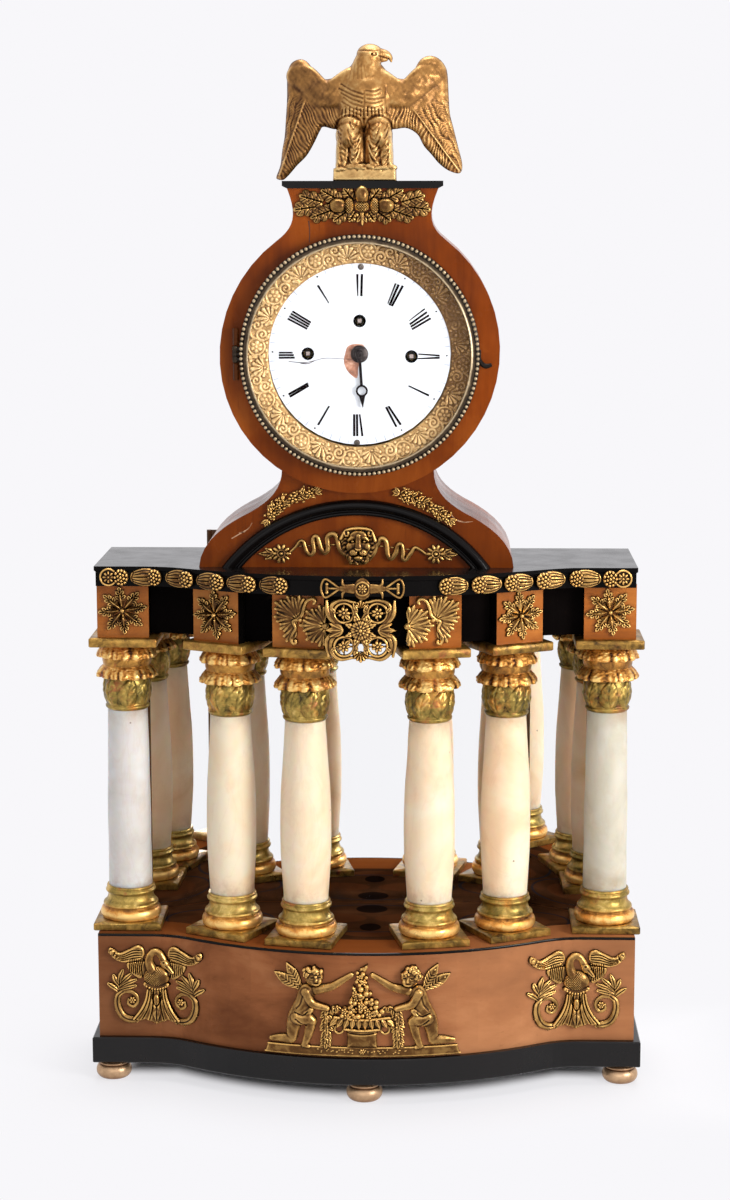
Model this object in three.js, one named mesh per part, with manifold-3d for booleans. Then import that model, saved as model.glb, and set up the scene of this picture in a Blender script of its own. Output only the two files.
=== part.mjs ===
// Portico mantel clock: serpentine base, six alabaster columns, mirrored niche,
// drum head with a hinged bezel, spring-driven movement with a short pendulum, carved eagle on top.
// Millimetres, +Z up, the front faces -Y.
import * as THREE from 'three';
import { mergeVertices } from 'three/addons/utils/BufferGeometryUtils.js';
import Module from 'manifold-3d';

const wasm = await Module();
wasm.setup();

// Facets round a turned piece: fine rods, columns and feet, wide rings
const ROD_SIDES = 12;
const COLUMN_SIDES = 14;
const RING_SIDES = 40;

// Clearances, the overlap of joined forms and the reach of a cutter past a face
const RUN = 0.15;
const GAP = 0.3;
const LAP = 0.5;
const OVERCUT = 1;

// Serpentine plan: y = 0 is the front of the base wings, the swell comes forward of it
const BOX_HALF_WIDTH = 146.4;
const BACK_Y = 70;
const SWELL = 32;
const SWELL_HALF_WIDTH = 105;
const HOLLOW_RADIUS = 45;

// Base
const FOOT_HEIGHT = 10.4;
const FOOT_RADIUS = 10;
const FOOT_SIDE_INSET = 6.8;
const FOOT_SIDE_X = BOX_HALF_WIDTH - FOOT_SIDE_INSET;
const FOOT_INSET = 6;
const FOOT_CENTRE_INSET = 10;
const PLINTH_MOULDING_HEIGHT = 14.5;
const PLINTH_MOULDING_OUTSET = 3.6;
const MOULDING_CHAMFER = 0.6;
const BOX_HEIGHT = 57.8;
const BOX_WALL = 11;
const BOX_TOP = 6;

// Columns
const END_COLUMN_INSET = 15.4;
const COLUMN_X = [33.3, 74.6, BOX_HALF_WIDTH - END_COLUMN_INSET];
const COLUMN_SHIFT = 1.2;
const COLUMN_INSET = 24.5;
const COLUMN_PLINTH = 37.2;
const COLUMN_PLINTH_HEIGHT = 4;
const COLUMN_BASE_HEIGHT = 18.3;
const COLUMN_TORUS_RADIUS = 16.7;
const SHAFT_HEIGHT = 100;
const SHAFT_TOP_RADIUS = 10.8;
const SHAFT_FOOT_RADIUS = 12;
const INNER_SHAFT_RADIUS = 13.8;
const OUTER_SHAFT_RADIUS = 12.2;
const CAPITAL_HEIGHT = 35.8;
const CAPITAL_LEAF_RADIUS = 17;
const ABACUS_HEIGHT = 4.7;

// Entablature and cornice
const BLOCK_WIDTH = 28;
const BLOCK_HEIGHT = 30;
const FRIEZE_INSET = 17.5;
const FRIEZE_SETBACK = 5.4;
const FRIEZE_HALF_WIDTH = BOX_HALF_WIDTH - FRIEZE_SETBACK;
const FRIEZE_LIFT = 1.5;
const CORNICE_HEIGHT = 10.75;
const CORNICE_SETBACK = 1.9;
const CORNICE_HALF_WIDTH = BOX_HALF_WIDTH - CORNICE_SETBACK;
const CORNICE_OUTSET = 2.5;
const CORNICE_LIP = 0.8;
const CORNICE_LIP_HEIGHT = 3;

// Mirrored niche
const NICHE_SETBACK = 22.4;
const NICHE_WING = 34;
const NICHE_END_X = BOX_HALF_WIDTH - NICHE_SETBACK;
const NICHE_HALF_WIDTH = NICHE_END_X - NICHE_WING;
const NICHE_CANT = THREE.MathUtils.degToRad(30.5);
const MIRROR_THICKNESS = 2;
const NICHE_BOARD = 3.2;

// Head
const HEAD_SHIFT = -2.5;
const HEAD_LEAN = 0.02;
const HEAD_FRONT_Y = -3;
const HEAD_BACK_Y = 64;
const HEAD_WALL = 7;
const HEAD_FRONT_BOARD = 6;
const DRUM_FRONT_THICKNESS = 6;
const ARCH_RISE = 36.25;
const ARCH_CLEARANCE = 4;
const DRUM_RADIUS = 73;
const DRUM_LIFT = ARCH_RISE + ARCH_CLEARANCE + DRUM_RADIUS;
const PEDESTAL_HALF_WIDTH = 83.4;
const WAIST_HALF_WIDTH = 40;
const NECK_RISE = 85;
const NECK_ANGLE = THREE.MathUtils.degToRad(53);
const NECK_TANGENT = 11;
const NECK_PULL_HALF_WIDTH = 33.3;
const NECK_FLARE = 14;
const APERTURE_RADIUS = 57;
const ARCH_OUTER_RADIUS = 88.4;
const ARCH_WIDTH = 8.4;
const ARCH_PROUD = 5;
const CAP_HEIGHT = 3.8;
const CAP_HALF_WIDTH = 41.5;
const CAP_OVERHANG = 2.5;
const DOOR_THICKNESS = 3;
const KNUCKLE_RADIUS = 1.5;
const KNUCKLE_LENGTH = 9;
const LUG_THICKNESS = 1.4;
const DOOR_MARGIN = 1;
const DOOR_HINGE_LIFT = 1.5;
const STRAP_LENGTH = 6;

// Dial and bezel
const DIAL_RADIUS = 47.5;
const DIAL_THICKNESS = 1.6;
const DIAL_CROWN = 0.9;
const DIAL_SINK = 0.8;
const DIAL_BORE = 3.3;
const WINDING_BORE = 3.4;
const SURROUND_SEAT = 3;
const SURROUND_PROUD = 1.5;
const BEZEL_RADIUS = 62.6;
const BEZEL_WIDTH = 6.2;
const BEZEL_DEPTH = 5.5;
const GLASS_THICKNESS = 2;
const GLASS_REBATE = 2;
const CATCH_REACH = 6;
const CATCH_HEIGHT = 4;
const CATCH_DROP = 6;
const CATCH_THICKNESS = 1.5;
const HAND_REACH = 28.2;
const HAND_RING_REACH = 19.2;
const HAND_RING_RADIUS = 3.2;
const HAND_RING_BORE = 2.2;
const HAND_BOSS_RADIUS = 4.5;
const HAND_STEM_WIDTH = 1.4;
const HAND_POINT_WIDTH = 3.2;
const HAND_THICKNESS = 0.8;
const HAND_TURN = THREE.MathUtils.degToRad(3.5);
const HAND_SPACE = 1.5;

// Movement
const PLATE_WIDTH = 82;
const PLATE_HEIGHT = 94;
const PLATE_THICKNESS = 3;
const PLATE_LEG = 3;
const PLATE_SPACE = 27;
const PILLAR_RADIUS = 2.5;
const PILLAR_MARGIN = 4;
const CENTRE_ARBOR = 1.6;
const PIPE_WALL = 0.7;
const BARREL_X = 27;
const GOING_BARREL_DROP = 1.4;
const QUARTER_BARREL_Z = 17;
const BARREL_RADIUS = 18;
const QUARTER_BARREL_RADIUS = 11;
const BARREL_LENGTH = 16;
const BARREL_ARBOR = 2.2;
const WINDING_SQUARE = 3;
const WHEEL_THICKNESS = 1.6;
const WHEEL_SPACE = 1;
const GREAT_SPACE = 3;
const STRIKE_FLANGE = 2;
const TRAIN_ARBOR = 0.9;
const GREAT_TEETH = 48;
const CENTRE_PINION_LEAVES = 6;
const CENTRE_TEETH = 48;
const THIRD_TEETH = 40;
const TRAIN_PINION_LEAVES = 8;
const CENTRE_MODULE = 0.7;
const THIRD_MODULE = 0.6;
const THIRD_X = -9;
const CANNON_LEAVES = 8;
const MINUTE_TEETH = 24;
const MINUTE_LEAVES = 6;
const HOUR_TEETH = 24;
const MOTION_DISTANCE = 12;
const ESCAPE_TEETH = 24;
const ESCAPE_RADIUS = 9.5;
const ESCAPE_TOOTH = 2.2;
const PALLET_RISE = 14.5;
const PALLET_CLEARANCE = 1.2;
const PALLET_NIB = 1.2;
const PALLET_ANGLE = THREE.MathUtils.degToRad(31);
const PENDULUM_RISE = 14.75;
const PENDULUM_LENGTH = DRUM_LIFT + PENDULUM_RISE;
const PENDULUM_ROD = 1.1;
const BOB_RADIUS = 17;
const BOB_THICKNESS = 7;
const CRUTCH_LENGTH = 22;
const CRUTCH_WIDTH = 2;
const CRUTCH_THICKNESS = 1.5;
const CRUTCH_SPACE = 2;
const PRONG = 1;
const SPRING_WIDTH = 3;
const SPRING_THICKNESS = 0.6;
const SPRING_RISE = 2.3;
const SPRING_DROP = 4;
const COCK_WIDTH = 10;
const COCK_HEIGHT = 5;
const COCK_OVERHANG = 4;

// Eagle
const EAGLE_Y = 26;
const EAGLE_PLINTH_WIDTH = 33;
const EAGLE_PLINTH_DEPTH = 30;
const EAGLE_PLINTH_HEIGHT = 8;
const EAGLE_HEIGHT = 70.5;
const EAGLE_HALF_SPAN = 49.5;

// Derived levels and places
const SWELL_RADIUS = (SWELL_HALF_WIDTH ** 2 + SWELL ** 2) / (2 * SWELL);
const SWELL_CENTRE_Y = SWELL_RADIUS - SWELL;
const HOLLOW_X = Math.sqrt(SWELL * (2 * SWELL_RADIUS + 2 * HOLLOW_RADIUS - SWELL));
const SWELL_TURN = Math.asin(HOLLOW_X / (SWELL_RADIUS + HOLLOW_RADIUS));
const MOULDING_TOP = FOOT_HEIGHT + PLINTH_MOULDING_HEIGHT;
const BOX_TOP_Z = MOULDING_TOP + BOX_HEIGHT;
const SHAFT_Z = BOX_TOP_Z + COLUMN_PLINTH_HEIGHT + COLUMN_BASE_HEIGHT;
const CAPITAL_Z = SHAFT_Z + SHAFT_HEIGHT;
const BLOCK_Z = CAPITAL_Z + CAPITAL_HEIGHT + ABACUS_HEIGHT;
const FRIEZE_Z = BLOCK_Z + FRIEZE_LIFT;
const CORNICE_Z = BLOCK_Z + BLOCK_HEIGHT;
const HEAD_Z = CORNICE_Z + CORNICE_HEIGHT;
const NICHE_BACK_Y = BACK_Y - NICHE_BOARD;
const MIRROR_Y = NICHE_BACK_Y - GAP - MIRROR_THICKNESS;
const DRUM_FRONT_Y = HEAD_FRONT_Y - DRUM_FRONT_THICKNESS;
const BEZEL_BACK_Y = DRUM_FRONT_Y - SURROUND_PROUD - GAP;
const BEZEL_FRONT_Y = BEZEL_BACK_Y - BEZEL_DEPTH;
const DIAL_FRONT_Y = DRUM_FRONT_Y + DIAL_SINK;
const DIAL_BACK_Y = DIAL_FRONT_Y + DIAL_THICKNESS;
const FRONT_PLATE_Y = HEAD_FRONT_Y + HEAD_FRONT_BOARD + PLATE_LEG;
const PLATE_INNER_Y = FRONT_PLATE_Y + PLATE_THICKNESS;
const BACK_PLATE_Y = PLATE_INNER_Y + PLATE_SPACE;
const TRAIN_Y = BACK_PLATE_Y + PLATE_THICKNESS + WHEEL_SPACE;
const THIRD_WHEEL_Y = TRAIN_Y + 2 * WHEEL_THICKNESS;
const THIRD_DISTANCE = (CENTRE_MODULE * (CENTRE_TEETH + TRAIN_PINION_LEAVES)) / 2;
const ESCAPE_DISTANCE = (THIRD_MODULE * (THIRD_TEETH + TRAIN_PINION_LEAVES)) / 2;
const THIRD_Z = Math.sqrt(THIRD_DISTANCE ** 2 - THIRD_X ** 2);
const ESCAPE_Z = THIRD_Z + Math.sqrt(ESCAPE_DISTANCE ** 2 - THIRD_X ** 2);
const PALLET_Z = ESCAPE_Z + PALLET_RISE;
const GREAT_MODULE = (2 * Math.hypot(BARREL_X, GOING_BARREL_DROP)) / (GREAT_TEETH + CENTRE_PINION_LEAVES);
const CANNON_MODULE = (2 * MOTION_DISTANCE) / (CANNON_LEAVES + MINUTE_TEETH);
const HOUR_MODULE = (2 * MOTION_DISTANCE) / (MINUTE_LEAVES + HOUR_TEETH);
const GREAT_Y = PLATE_INNER_Y + GREAT_SPACE;
const BARREL_Y = GREAT_Y + WHEEL_THICKNESS;
const MINUTE_WHEEL_Y = FRONT_PLATE_Y - WHEEL_SPACE - WHEEL_THICKNESS;
const HOUR_WHEEL_Y = MINUTE_WHEEL_Y - WHEEL_SPACE - WHEEL_THICKNESS;
const PIPE_INNER = CENTRE_ARBOR + RUN;
const PIPE_OUTER = PIPE_INNER + PIPE_WALL;
const HAND_Y = DIAL_FRONT_Y - DIAL_CROWN - HAND_SPACE;
const CRUTCH_Y = THIRD_WHEEL_Y + WHEEL_THICKNESS + CRUTCH_SPACE;
const PENDULUM_Y = CRUTCH_Y + CRUTCH_THICKNESS + BOB_THICKNESS / 2 + LAP;
const BEZEL_HINGE_X = -BEZEL_RADIUS - KNUCKLE_RADIUS - GAP;
const BEZEL_HINGE_Y = BEZEL_BACK_Y - KNUCKLE_RADIUS;

// Materials
const finish = (color, roughness, metalness = 0) => new THREE.MeshStandardMaterial({ color, roughness, metalness });
const VENEER = () => finish(0x9a5026, 0.35);
const BASE_VENEER = () => finish(0xa3694a, 0.35);
const EBONISED = () => finish(0x1a1a1c, 0.3);
const ALABASTER = () => finish(0xefe2cc, 0.4);
const GILT = () => finish(0xb9893f, 0.4, 0.8);
const BRASS = () => finish(0xa8853c, 0.35, 1);
const STEEL = () => finish(0x3a3f48, 0.3, 1);
const BRONZE = () => finish(0x4a3a24, 0.5, 0.8);
const ENAMEL = () => finish(0xf4f5f8, 0.2);
const GLASS = () => finish(0xdfeaea, 0.05);
const SILVERED = () => finish(0xc8ccd0, 0.05, 1);
const PINE = () => finish(0x7a5636, 0.7);

// Solids: a merged closed mesh, joined and cut
function solid(geometry) {
  const bare = geometry.clone();
  bare.deleteAttribute('normal');
  bare.deleteAttribute('uv');
  const merged = mergeVertices(bare, 1e-4);
  const vertProperties = new Float32Array(merged.attributes.position.array);
  const triVerts = new Uint32Array(merged.index.array);
  const body = new wasm.Manifold(new wasm.Mesh({ numProp: 3, vertProperties, triVerts }));
  return body.volume() < 0 ? solid(flipped(merged)) : body;
}

function flipped(geometry) {
  const copy = geometry.clone();
  const index = copy.index.array;
  for (let i = 0; i < index.length; i += 3) {
    [index[i + 1], index[i + 2]] = [index[i + 2], index[i + 1]];
  }
  return copy;
}

function shell(body) {
  const mesh = body.getMesh();
  const geometry = new THREE.BufferGeometry();
  geometry.setAttribute('position', new THREE.BufferAttribute(new Float32Array(mesh.vertProperties), 3));
  geometry.setIndex(new THREE.BufferAttribute(new Uint32Array(mesh.triVerts), 1));
  geometry.computeVertexNormals();
  return geometry;
}

const join = (...geometries) => shell(geometries.map(solid).reduce((a, b) => a.add(b)));
const cut = (geometry, ...tools) => shell(tools.map(solid).reduce((a, b) => a.subtract(b), solid(geometry)));

// Basic forms
function block(x0, x1, y0, y1, z0, z1) {
  const geometry = new THREE.BoxGeometry(x1 - x0, y1 - y0, z1 - z0);
  return geometry.translate((x0 + x1) / 2, (y0 + y1) / 2, (z0 + z1) / 2);
}

function rodY(radius, y0, y1, x = 0, z = 0, sides = ROD_SIDES) {
  return new THREE.CylinderGeometry(radius, radius, y1 - y0, sides).translate(x, (y0 + y1) / 2, z);
}

function rodZ(radius, z0, z1, x = 0, y = 0) {
  const rod = new THREE.CylinderGeometry(radius, radius, z1 - z0, ROD_SIDES).rotateX(Math.PI / 2);
  return rod.translate(x, y, (z0 + z1) / 2);
}

// A lathe profile of [radius, height] pairs, turned about Z
function turnedZ(profile) {
  const points = profile.map(([radius, height]) => new THREE.Vector2(radius, height));
  return new THREE.LatheGeometry(points, COLUMN_SIDES).rotateX(Math.PI / 2);
}

// A closed lathe profile of [radius, y] pairs, turned about Y
function turnedY(profile) {
  const points = profile.map(([radius, y]) => new THREE.Vector2(radius, y));
  return shell(solid(new THREE.LatheGeometry(points, RING_SIDES)));
}

// A frontal outline (x across, z up) given thickness from y0 to y1
function frontal(outline, y0, y1) {
  const options = { depth: y1 - y0, bevelEnabled: false };
  return new THREE.ExtrudeGeometry(new THREE.Shape(outline), options).rotateX(Math.PI / 2).translate(0, y1, 0);
}

function ellipsoid(x, y, z, rx, ry, rz) {
  return new THREE.SphereGeometry(1, 12, 8).scale(rx, ry, rz).translate(x, y, z);
}

// Points of an arc, ends included
function arc(cx, cy, radius, from, to, steps) {
  const points = [];
  for (let i = 0; i <= steps; i++) {
    const angle = from + ((to - from) * i) / steps;
    points.push(new THREE.Vector2(cx + radius * Math.cos(angle), cy + radius * Math.sin(angle)));
  }
  return points;
}

// Serpentine plan outline: straight wings, a hollow corner and a swell; outset moves the front forward
function plan(halfWidth, outset, backY = BACK_Y) {
  const quarter = Math.PI / 2;
  const corner = HOLLOW_RADIUS - outset;
  const swell = arc(0, SWELL_CENTRE_Y, SWELL_RADIUS + outset, -quarter - SWELL_TURN, -quarter + SWELL_TURN, 16);
  return [
    new THREE.Vector2(-halfWidth, backY),
    new THREE.Vector2(-halfWidth, -outset),
    ...arc(-HOLLOW_X, -HOLLOW_RADIUS, corner, quarter, quarter - SWELL_TURN, 4),
    ...swell.slice(1, -1),
    ...arc(HOLLOW_X, -HOLLOW_RADIUS, corner, quarter + SWELL_TURN, quarter, 4),
    new THREE.Vector2(halfWidth, -outset),
    new THREE.Vector2(halfWidth, backY),
  ];
}

// A slab of the serpentine plan whose edge follows a moulding of [outset, height] pairs
function moulded(halfWidth, z, profile) {
  const widest = Math.max(...profile.map(([outset]) => outset));
  const rings = profile.map(([outset]) => plan(halfWidth - (widest - outset), outset));
  const count = rings[0].length;
  const position = [];
  rings.forEach((ring, level) => ring.forEach((p) => position.push(p.x, p.y, z + profile[level][1])));
  const index = [];
  for (let level = 0; level < rings.length - 1; level++) {
    for (let i = 0; i < count; i++) {
      const a = level * count + i;
      const b = level * count + ((i + 1) % count);
      index.push(a, b, b + count, a, b + count, a + count);
    }
  }
  const top = (rings.length - 1) * count;
  for (const [a, b, c] of THREE.ShapeUtils.triangulateShape(rings[0], [])) index.push(c, b, a);
  for (const [a, b, c] of THREE.ShapeUtils.triangulateShape(rings[rings.length - 1], [])) {
    index.push(top + a, top + b, top + c);
  }
  const geometry = new THREE.BufferGeometry();
  geometry.setAttribute('position', new THREE.Float32BufferAttribute(position, 3));
  geometry.setIndex(index);
  geometry.computeVertexNormals();
  return geometry;
}

function slab(outline, z0, z1) {
  const options = { depth: z1 - z0, bevelEnabled: false };
  return new THREE.ExtrudeGeometry(new THREE.Shape(outline), options).translate(0, 0, z0);
}

// Shortest distance from a point to an outline
function clearance(p, outline) {
  const foot = new THREE.Vector3();
  const spot = new THREE.Vector3(p.x, p.y, 0);
  const distances = outline.map((a, i) => {
    const b = outline[(i + 1) % outline.length];
    const side = new THREE.Line3(new THREE.Vector3(a.x, a.y, 0), new THREE.Vector3(b.x, b.y, 0));
    return side.closestPointToPoint(spot, true, foot).distanceTo(spot);
  });
  return Math.min(...distances);
}

// An outline moved inward by a distance, corner by corner, without the corners that would fold over
function inset(points, distance) {
  const count = points.length;
  const moved = points.map((p, i) => {
    const before = points[(i + count - 1) % count];
    const after = points[(i + 1) % count];
    const u = new THREE.Vector2().subVectors(p, before).normalize();
    const v = new THREE.Vector2().subVectors(after, p).normalize();
    const miter = new THREE.Vector2(-u.y - v.y, u.x + v.x).normalize();
    const stretch = distance / (miter.x * -u.y + miter.y * u.x);
    return p.clone().addScaledVector(miter, stretch);
  });
  return moved.filter((p) => clearance(p, points) > 0.98 * distance);
}

// Points of a right-hand curve without repeats, followed by the mirror image of those off the axis
function mirrored(curve) {
  const points = curve.filter((p, i) => i === 0 || p.distanceTo(curve[i - 1]) > 1e-6);
  const left = points.filter((p) => p.x > 1e-6).map((p) => new THREE.Vector2(-p.x, p.y));
  return [...points, ...left.reverse()];
}

// Clock assembly
const clock = new THREE.Group();
const head = new THREE.Group();
head.position.set(HEAD_SHIFT, 0, HEAD_Z);
clock.add(head);
const dialCentre = new THREE.Group();
dialCentre.position.z = DRUM_LIFT;
head.add(dialCentre);

function place(group, name, geometry, material) {
  const mesh = new THREE.Mesh(geometry, material);
  mesh.name = name;
  group.add(mesh);
  return mesh;
}

// Feet: turned buns under the moulding
function buildFeet() {
  const r = FOOT_RADIUS;
  const h = FOOT_HEIGHT;
  const profile = [[0, 0], [0.7 * r, 0], [r, 0.3 * h], [r, 0.5 * h], [0.75 * r, 0.85 * h], [0.75 * r, h], [0, h]];
  const swellFrontY = -SWELL - PLINTH_MOULDING_OUTSET + FOOT_CENTRE_INSET;
  const places = {
    foot_front_left: [-FOOT_SIDE_X, FOOT_INSET],
    foot_front_centre: [0, swellFrontY],
    foot_front_right: [FOOT_SIDE_X, FOOT_INSET],
    foot_rear_left: [-FOOT_SIDE_X, BACK_Y - FOOT_RADIUS],
    foot_rear_right: [FOOT_SIDE_X, BACK_Y - FOOT_RADIUS],
  };
  for (const [name, [x, y]] of Object.entries(places)) {
    place(clock, name, turnedZ(profile), BRONZE()).position.set(x, y, 0);
  }
}

// Base: moulded bottom board and the veneered box that stands on it, hollow and open below
function buildBase() {
  const o = PLINTH_MOULDING_OUTSET;
  const h = PLINTH_MOULDING_HEIGHT;
  const c = MOULDING_CHAMFER;
  const profile = [[o - c, 0], [o, c], [o, h - c], [o - c, h]];
  place(clock, 'base_moulding', moulded(BOX_HALF_WIDTH + o, FOOT_HEIGHT, profile), EBONISED());
  const outside = slab(plan(BOX_HALF_WIDTH, 0), MOULDING_TOP, BOX_TOP_Z);
  const hollow = plan(BOX_HALF_WIDTH - BOX_WALL, -BOX_WALL, BACK_Y - BOX_WALL);
  const inside = slab(hollow, MOULDING_TOP - OVERCUT, BOX_TOP_Z - BOX_TOP);
  place(clock, 'base_box', cut(outside, inside), BASE_VENEER());
}

// Six columns stand on a line behind the front, each turned square to it; those on the swell are set off a little
function columnStation(place) {
  const onWing = Math.abs(place) > HOLLOW_X - COLUMN_PLINTH / 2;
  if (onWing) return { x: place, y: COLUMN_INSET, turn: 0, belly: OUTER_SHAFT_RADIUS };
  const reach = SWELL_RADIUS - COLUMN_INSET;
  const x = place + COLUMN_SHIFT;
  const turn = Math.asin(x / reach);
  return { x, y: SWELL_CENTRE_Y - reach * Math.cos(turn), turn, belly: INNER_SHAFT_RADIUS };
}

function buildColumns() {
  const stations = [...COLUMN_X].reverse().map((x) => -x).concat(COLUMN_X).map(columnStation);
  const half = COLUMN_PLINTH / 2;
  const bh = COLUMN_BASE_HEIGHT;
  const t = COLUMN_TORUS_RADIUS;
  const f = SHAFT_FOOT_RADIUS;
  const base = [[0, -LAP], [0.9 * t, -LAP], [t, 0.12 * bh], [t, 0.26 * bh], [0.88 * t, 0.38 * bh], [f, 0.55 * bh],
    [f, 0.7 * bh], [1.15 * f, 0.78 * bh], [1.15 * f, 0.92 * bh], [1.05 * f, bh], [0, bh]];
  const s = SHAFT_TOP_RADIUS;
  const c = CAPITAL_LEAF_RADIUS;
  const ch = CAPITAL_HEIGHT;
  const capital = [[0, 0], [s, 0], [1.2 * s, 0.3 * ch], [1.2 * s, 0.5 * ch], [0.95 * c, 0.53 * ch],
    [0.95 * c, 0.62 * ch], [1.15 * s, 0.7 * ch], [1.15 * s, 0.76 * ch], [c, 0.82 * ch], [c, 0.93 * ch],
    [0.85 * c, ch + LAP], [0, ch + LAP]];
  stations.forEach((station, i) => {
    const column = new THREE.Group();
    column.position.set(station.x, station.y, 0);
    column.rotation.z = station.turn;
    clock.add(column);
    const number = i + 1;
    const belly = station.belly;
    const plinth = block(-half, half, -half, half, 0, COLUMN_PLINTH_HEIGHT);
    const foot = join(plinth, turnedZ(base).translate(0, 0, COLUMN_PLINTH_HEIGHT));
    place(column, `column_base_${number}`, foot, GILT()).position.z = BOX_TOP_Z;
    const shaft = [[0, 0], [f, 0], [belly, 0.35 * SHAFT_HEIGHT], [0.98 * belly, 0.55 * SHAFT_HEIGHT],
      [s, SHAFT_HEIGHT], [0, SHAFT_HEIGHT]];
    place(column, `column_shaft_${number}`, turnedZ(shaft), ALABASTER()).position.z = SHAFT_Z;
    const abacus = block(-half, half, -half, half, ch, ch + ABACUS_HEIGHT);
    place(column, `column_capital_${number}`, join(turnedZ(capital), abacus), GILT()).position.z = CAPITAL_Z;
    const b = BLOCK_WIDTH / 2;
    const die = block(-b, b, -b, b, 0, BLOCK_HEIGHT);
    place(column, `frieze_block_${number}`, die, VENEER()).position.z = BLOCK_Z;
  });
  return stations;
}

// Frieze board let in behind the blocks, and the cornice over both
function buildEntablature(stations) {
  const b = BLOCK_WIDTH / 2 + GAP;
  const pockets = stations.map((station) => block(-b, b, -b, b, BLOCK_Z, CORNICE_Z + OVERCUT)
    .rotateZ(station.turn).translate(station.x, station.y, 0));
  const board = slab(plan(FRIEZE_HALF_WIDTH, -FRIEZE_INSET), FRIEZE_Z, CORNICE_Z);
  place(clock, 'frieze_board', cut(board, ...pockets), EBONISED());
  const o = CORNICE_OUTSET;
  const h = CORNICE_HEIGHT;
  const lip = h - CORNICE_LIP_HEIGHT;
  const face = o - CORNICE_LIP;
  const profile = [[face, 0], [face, lip], [o, lip + CORNICE_LIP], [o, h]];
  place(clock, 'cornice', moulded(CORNICE_HALF_WIDTH, CORNICE_Z, profile), EBONISED());
}

// Niche behind the columns: a three-sided back with a mirror pane on each side
function buildNiche() {
  const run = NICHE_END_X - NICHE_HALF_WIDTH;
  const drop = run * Math.tan(NICHE_CANT);
  const front = [
    new THREE.Vector2(NICHE_END_X, NICHE_BACK_Y - drop),
    new THREE.Vector2(NICHE_HALF_WIDTH, NICHE_BACK_Y),
  ];
  const back = front.map((p) => new THREE.Vector2(p.x, p.y + NICHE_BOARD / Math.cos(NICHE_CANT)));
  back[1].set(NICHE_HALF_WIDTH + NICHE_BOARD * Math.tan(NICHE_CANT / 2), BACK_Y);
  const left = [...front].reverse().map((p) => new THREE.Vector2(-p.x, p.y));
  const leftBack = back.map((p) => new THREE.Vector2(-p.x, p.y));
  const outline = [...front, ...left, ...leftBack, ...[...back].reverse()];
  place(clock, 'niche_back', slab(outline, BOX_TOP_Z, FRIEZE_Z), PINE());
  const z0 = BOX_TOP_Z + GAP;
  const z1 = FRIEZE_Z - GAP;
  const reach = NICHE_HALF_WIDTH - MIRROR_THICKNESS;
  const pane = block(-reach, reach, MIRROR_Y, MIRROR_Y + MIRROR_THICKNESS, z0, z1);
  place(clock, 'mirror_centre', pane, SILVERED());
  const length = run / Math.cos(NICHE_CANT) - MIRROR_THICKNESS;
  for (const [name, side] of [['mirror_left', -1], ['mirror_right', 1]]) {
    const leaf = block(MIRROR_THICKNESS, length, -MIRROR_THICKNESS - GAP, -GAP, z0, z1);
    const turned = side > 0 ? leaf.rotateZ(-NICHE_CANT) : leaf.rotateZ(-NICHE_CANT).scale(-1, 1, 1);
    place(clock, name, shell(solid(turned.translate(side * NICHE_HALF_WIDTH, NICHE_BACK_Y, 0))), SILVERED());
  }
}

// Outline of the right half of the neck, leaving the drum on a tangent and flaring to the cap
function neckCurve(path) {
  const sine = Math.sin(NECK_ANGLE);
  const cosine = Math.cos(NECK_ANGLE);
  const low = [DRUM_RADIUS * cosine - NECK_TANGENT * sine, DRUM_LIFT + DRUM_RADIUS * sine + NECK_TANGENT * cosine];
  const top = DRUM_LIFT + NECK_RISE;
  path.bezierCurveTo(...low, NECK_PULL_HALF_WIDTH, top - NECK_FLARE, CAP_HALF_WIDTH - CAP_OVERHANG, top);
}

// The head leans a little to the right: points over the drum's middle move right, those under it left
function lean(z) {
  return HEAD_LEAN * (z - DRUM_LIFT);
}

function leaned(points) {
  return points.map((p) => new THREE.Vector2(p.x + lean(p.y), p.y));
}

// Drum and neck seen from the front
function drumOutline() {
  const path = new THREE.Path();
  path.moveTo(0, DRUM_LIFT - DRUM_RADIUS);
  path.absarc(0, DRUM_LIFT, DRUM_RADIUS, -Math.PI / 2, NECK_ANGLE, false);
  neckCurve(path);
  return leaned(mirrored(path.getPoints(10)));
}

// Whole head seen from the front: bell-shaped pedestal, waist, drum and neck
function headOutline() {
  const p = PEDESTAL_HALF_WIDTH;
  const w = WAIST_HALF_WIDTH;
  const waistDrop = Math.sqrt(DRUM_RADIUS ** 2 - w ** 2);
  const waistZ = DRUM_LIFT - waistDrop;
  const knee = [0.68 * p, 0.56 * waistZ];
  const path = new THREE.Path();
  path.moveTo(p, 0);
  path.bezierCurveTo(p - 0.5, 0.27 * waistZ, 0.82 * p, 0.45 * waistZ, ...knee);
  path.bezierCurveTo(0.55 * p, 0.68 * waistZ, w, 0.8 * waistZ, w, waistZ);
  path.absarc(0, DRUM_LIFT, DRUM_RADIUS, -Math.atan2(waistDrop, w), NECK_ANGLE, false);
  neckCurve(path);
  return leaned(mirrored(path.getPoints(8)));
}

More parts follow.
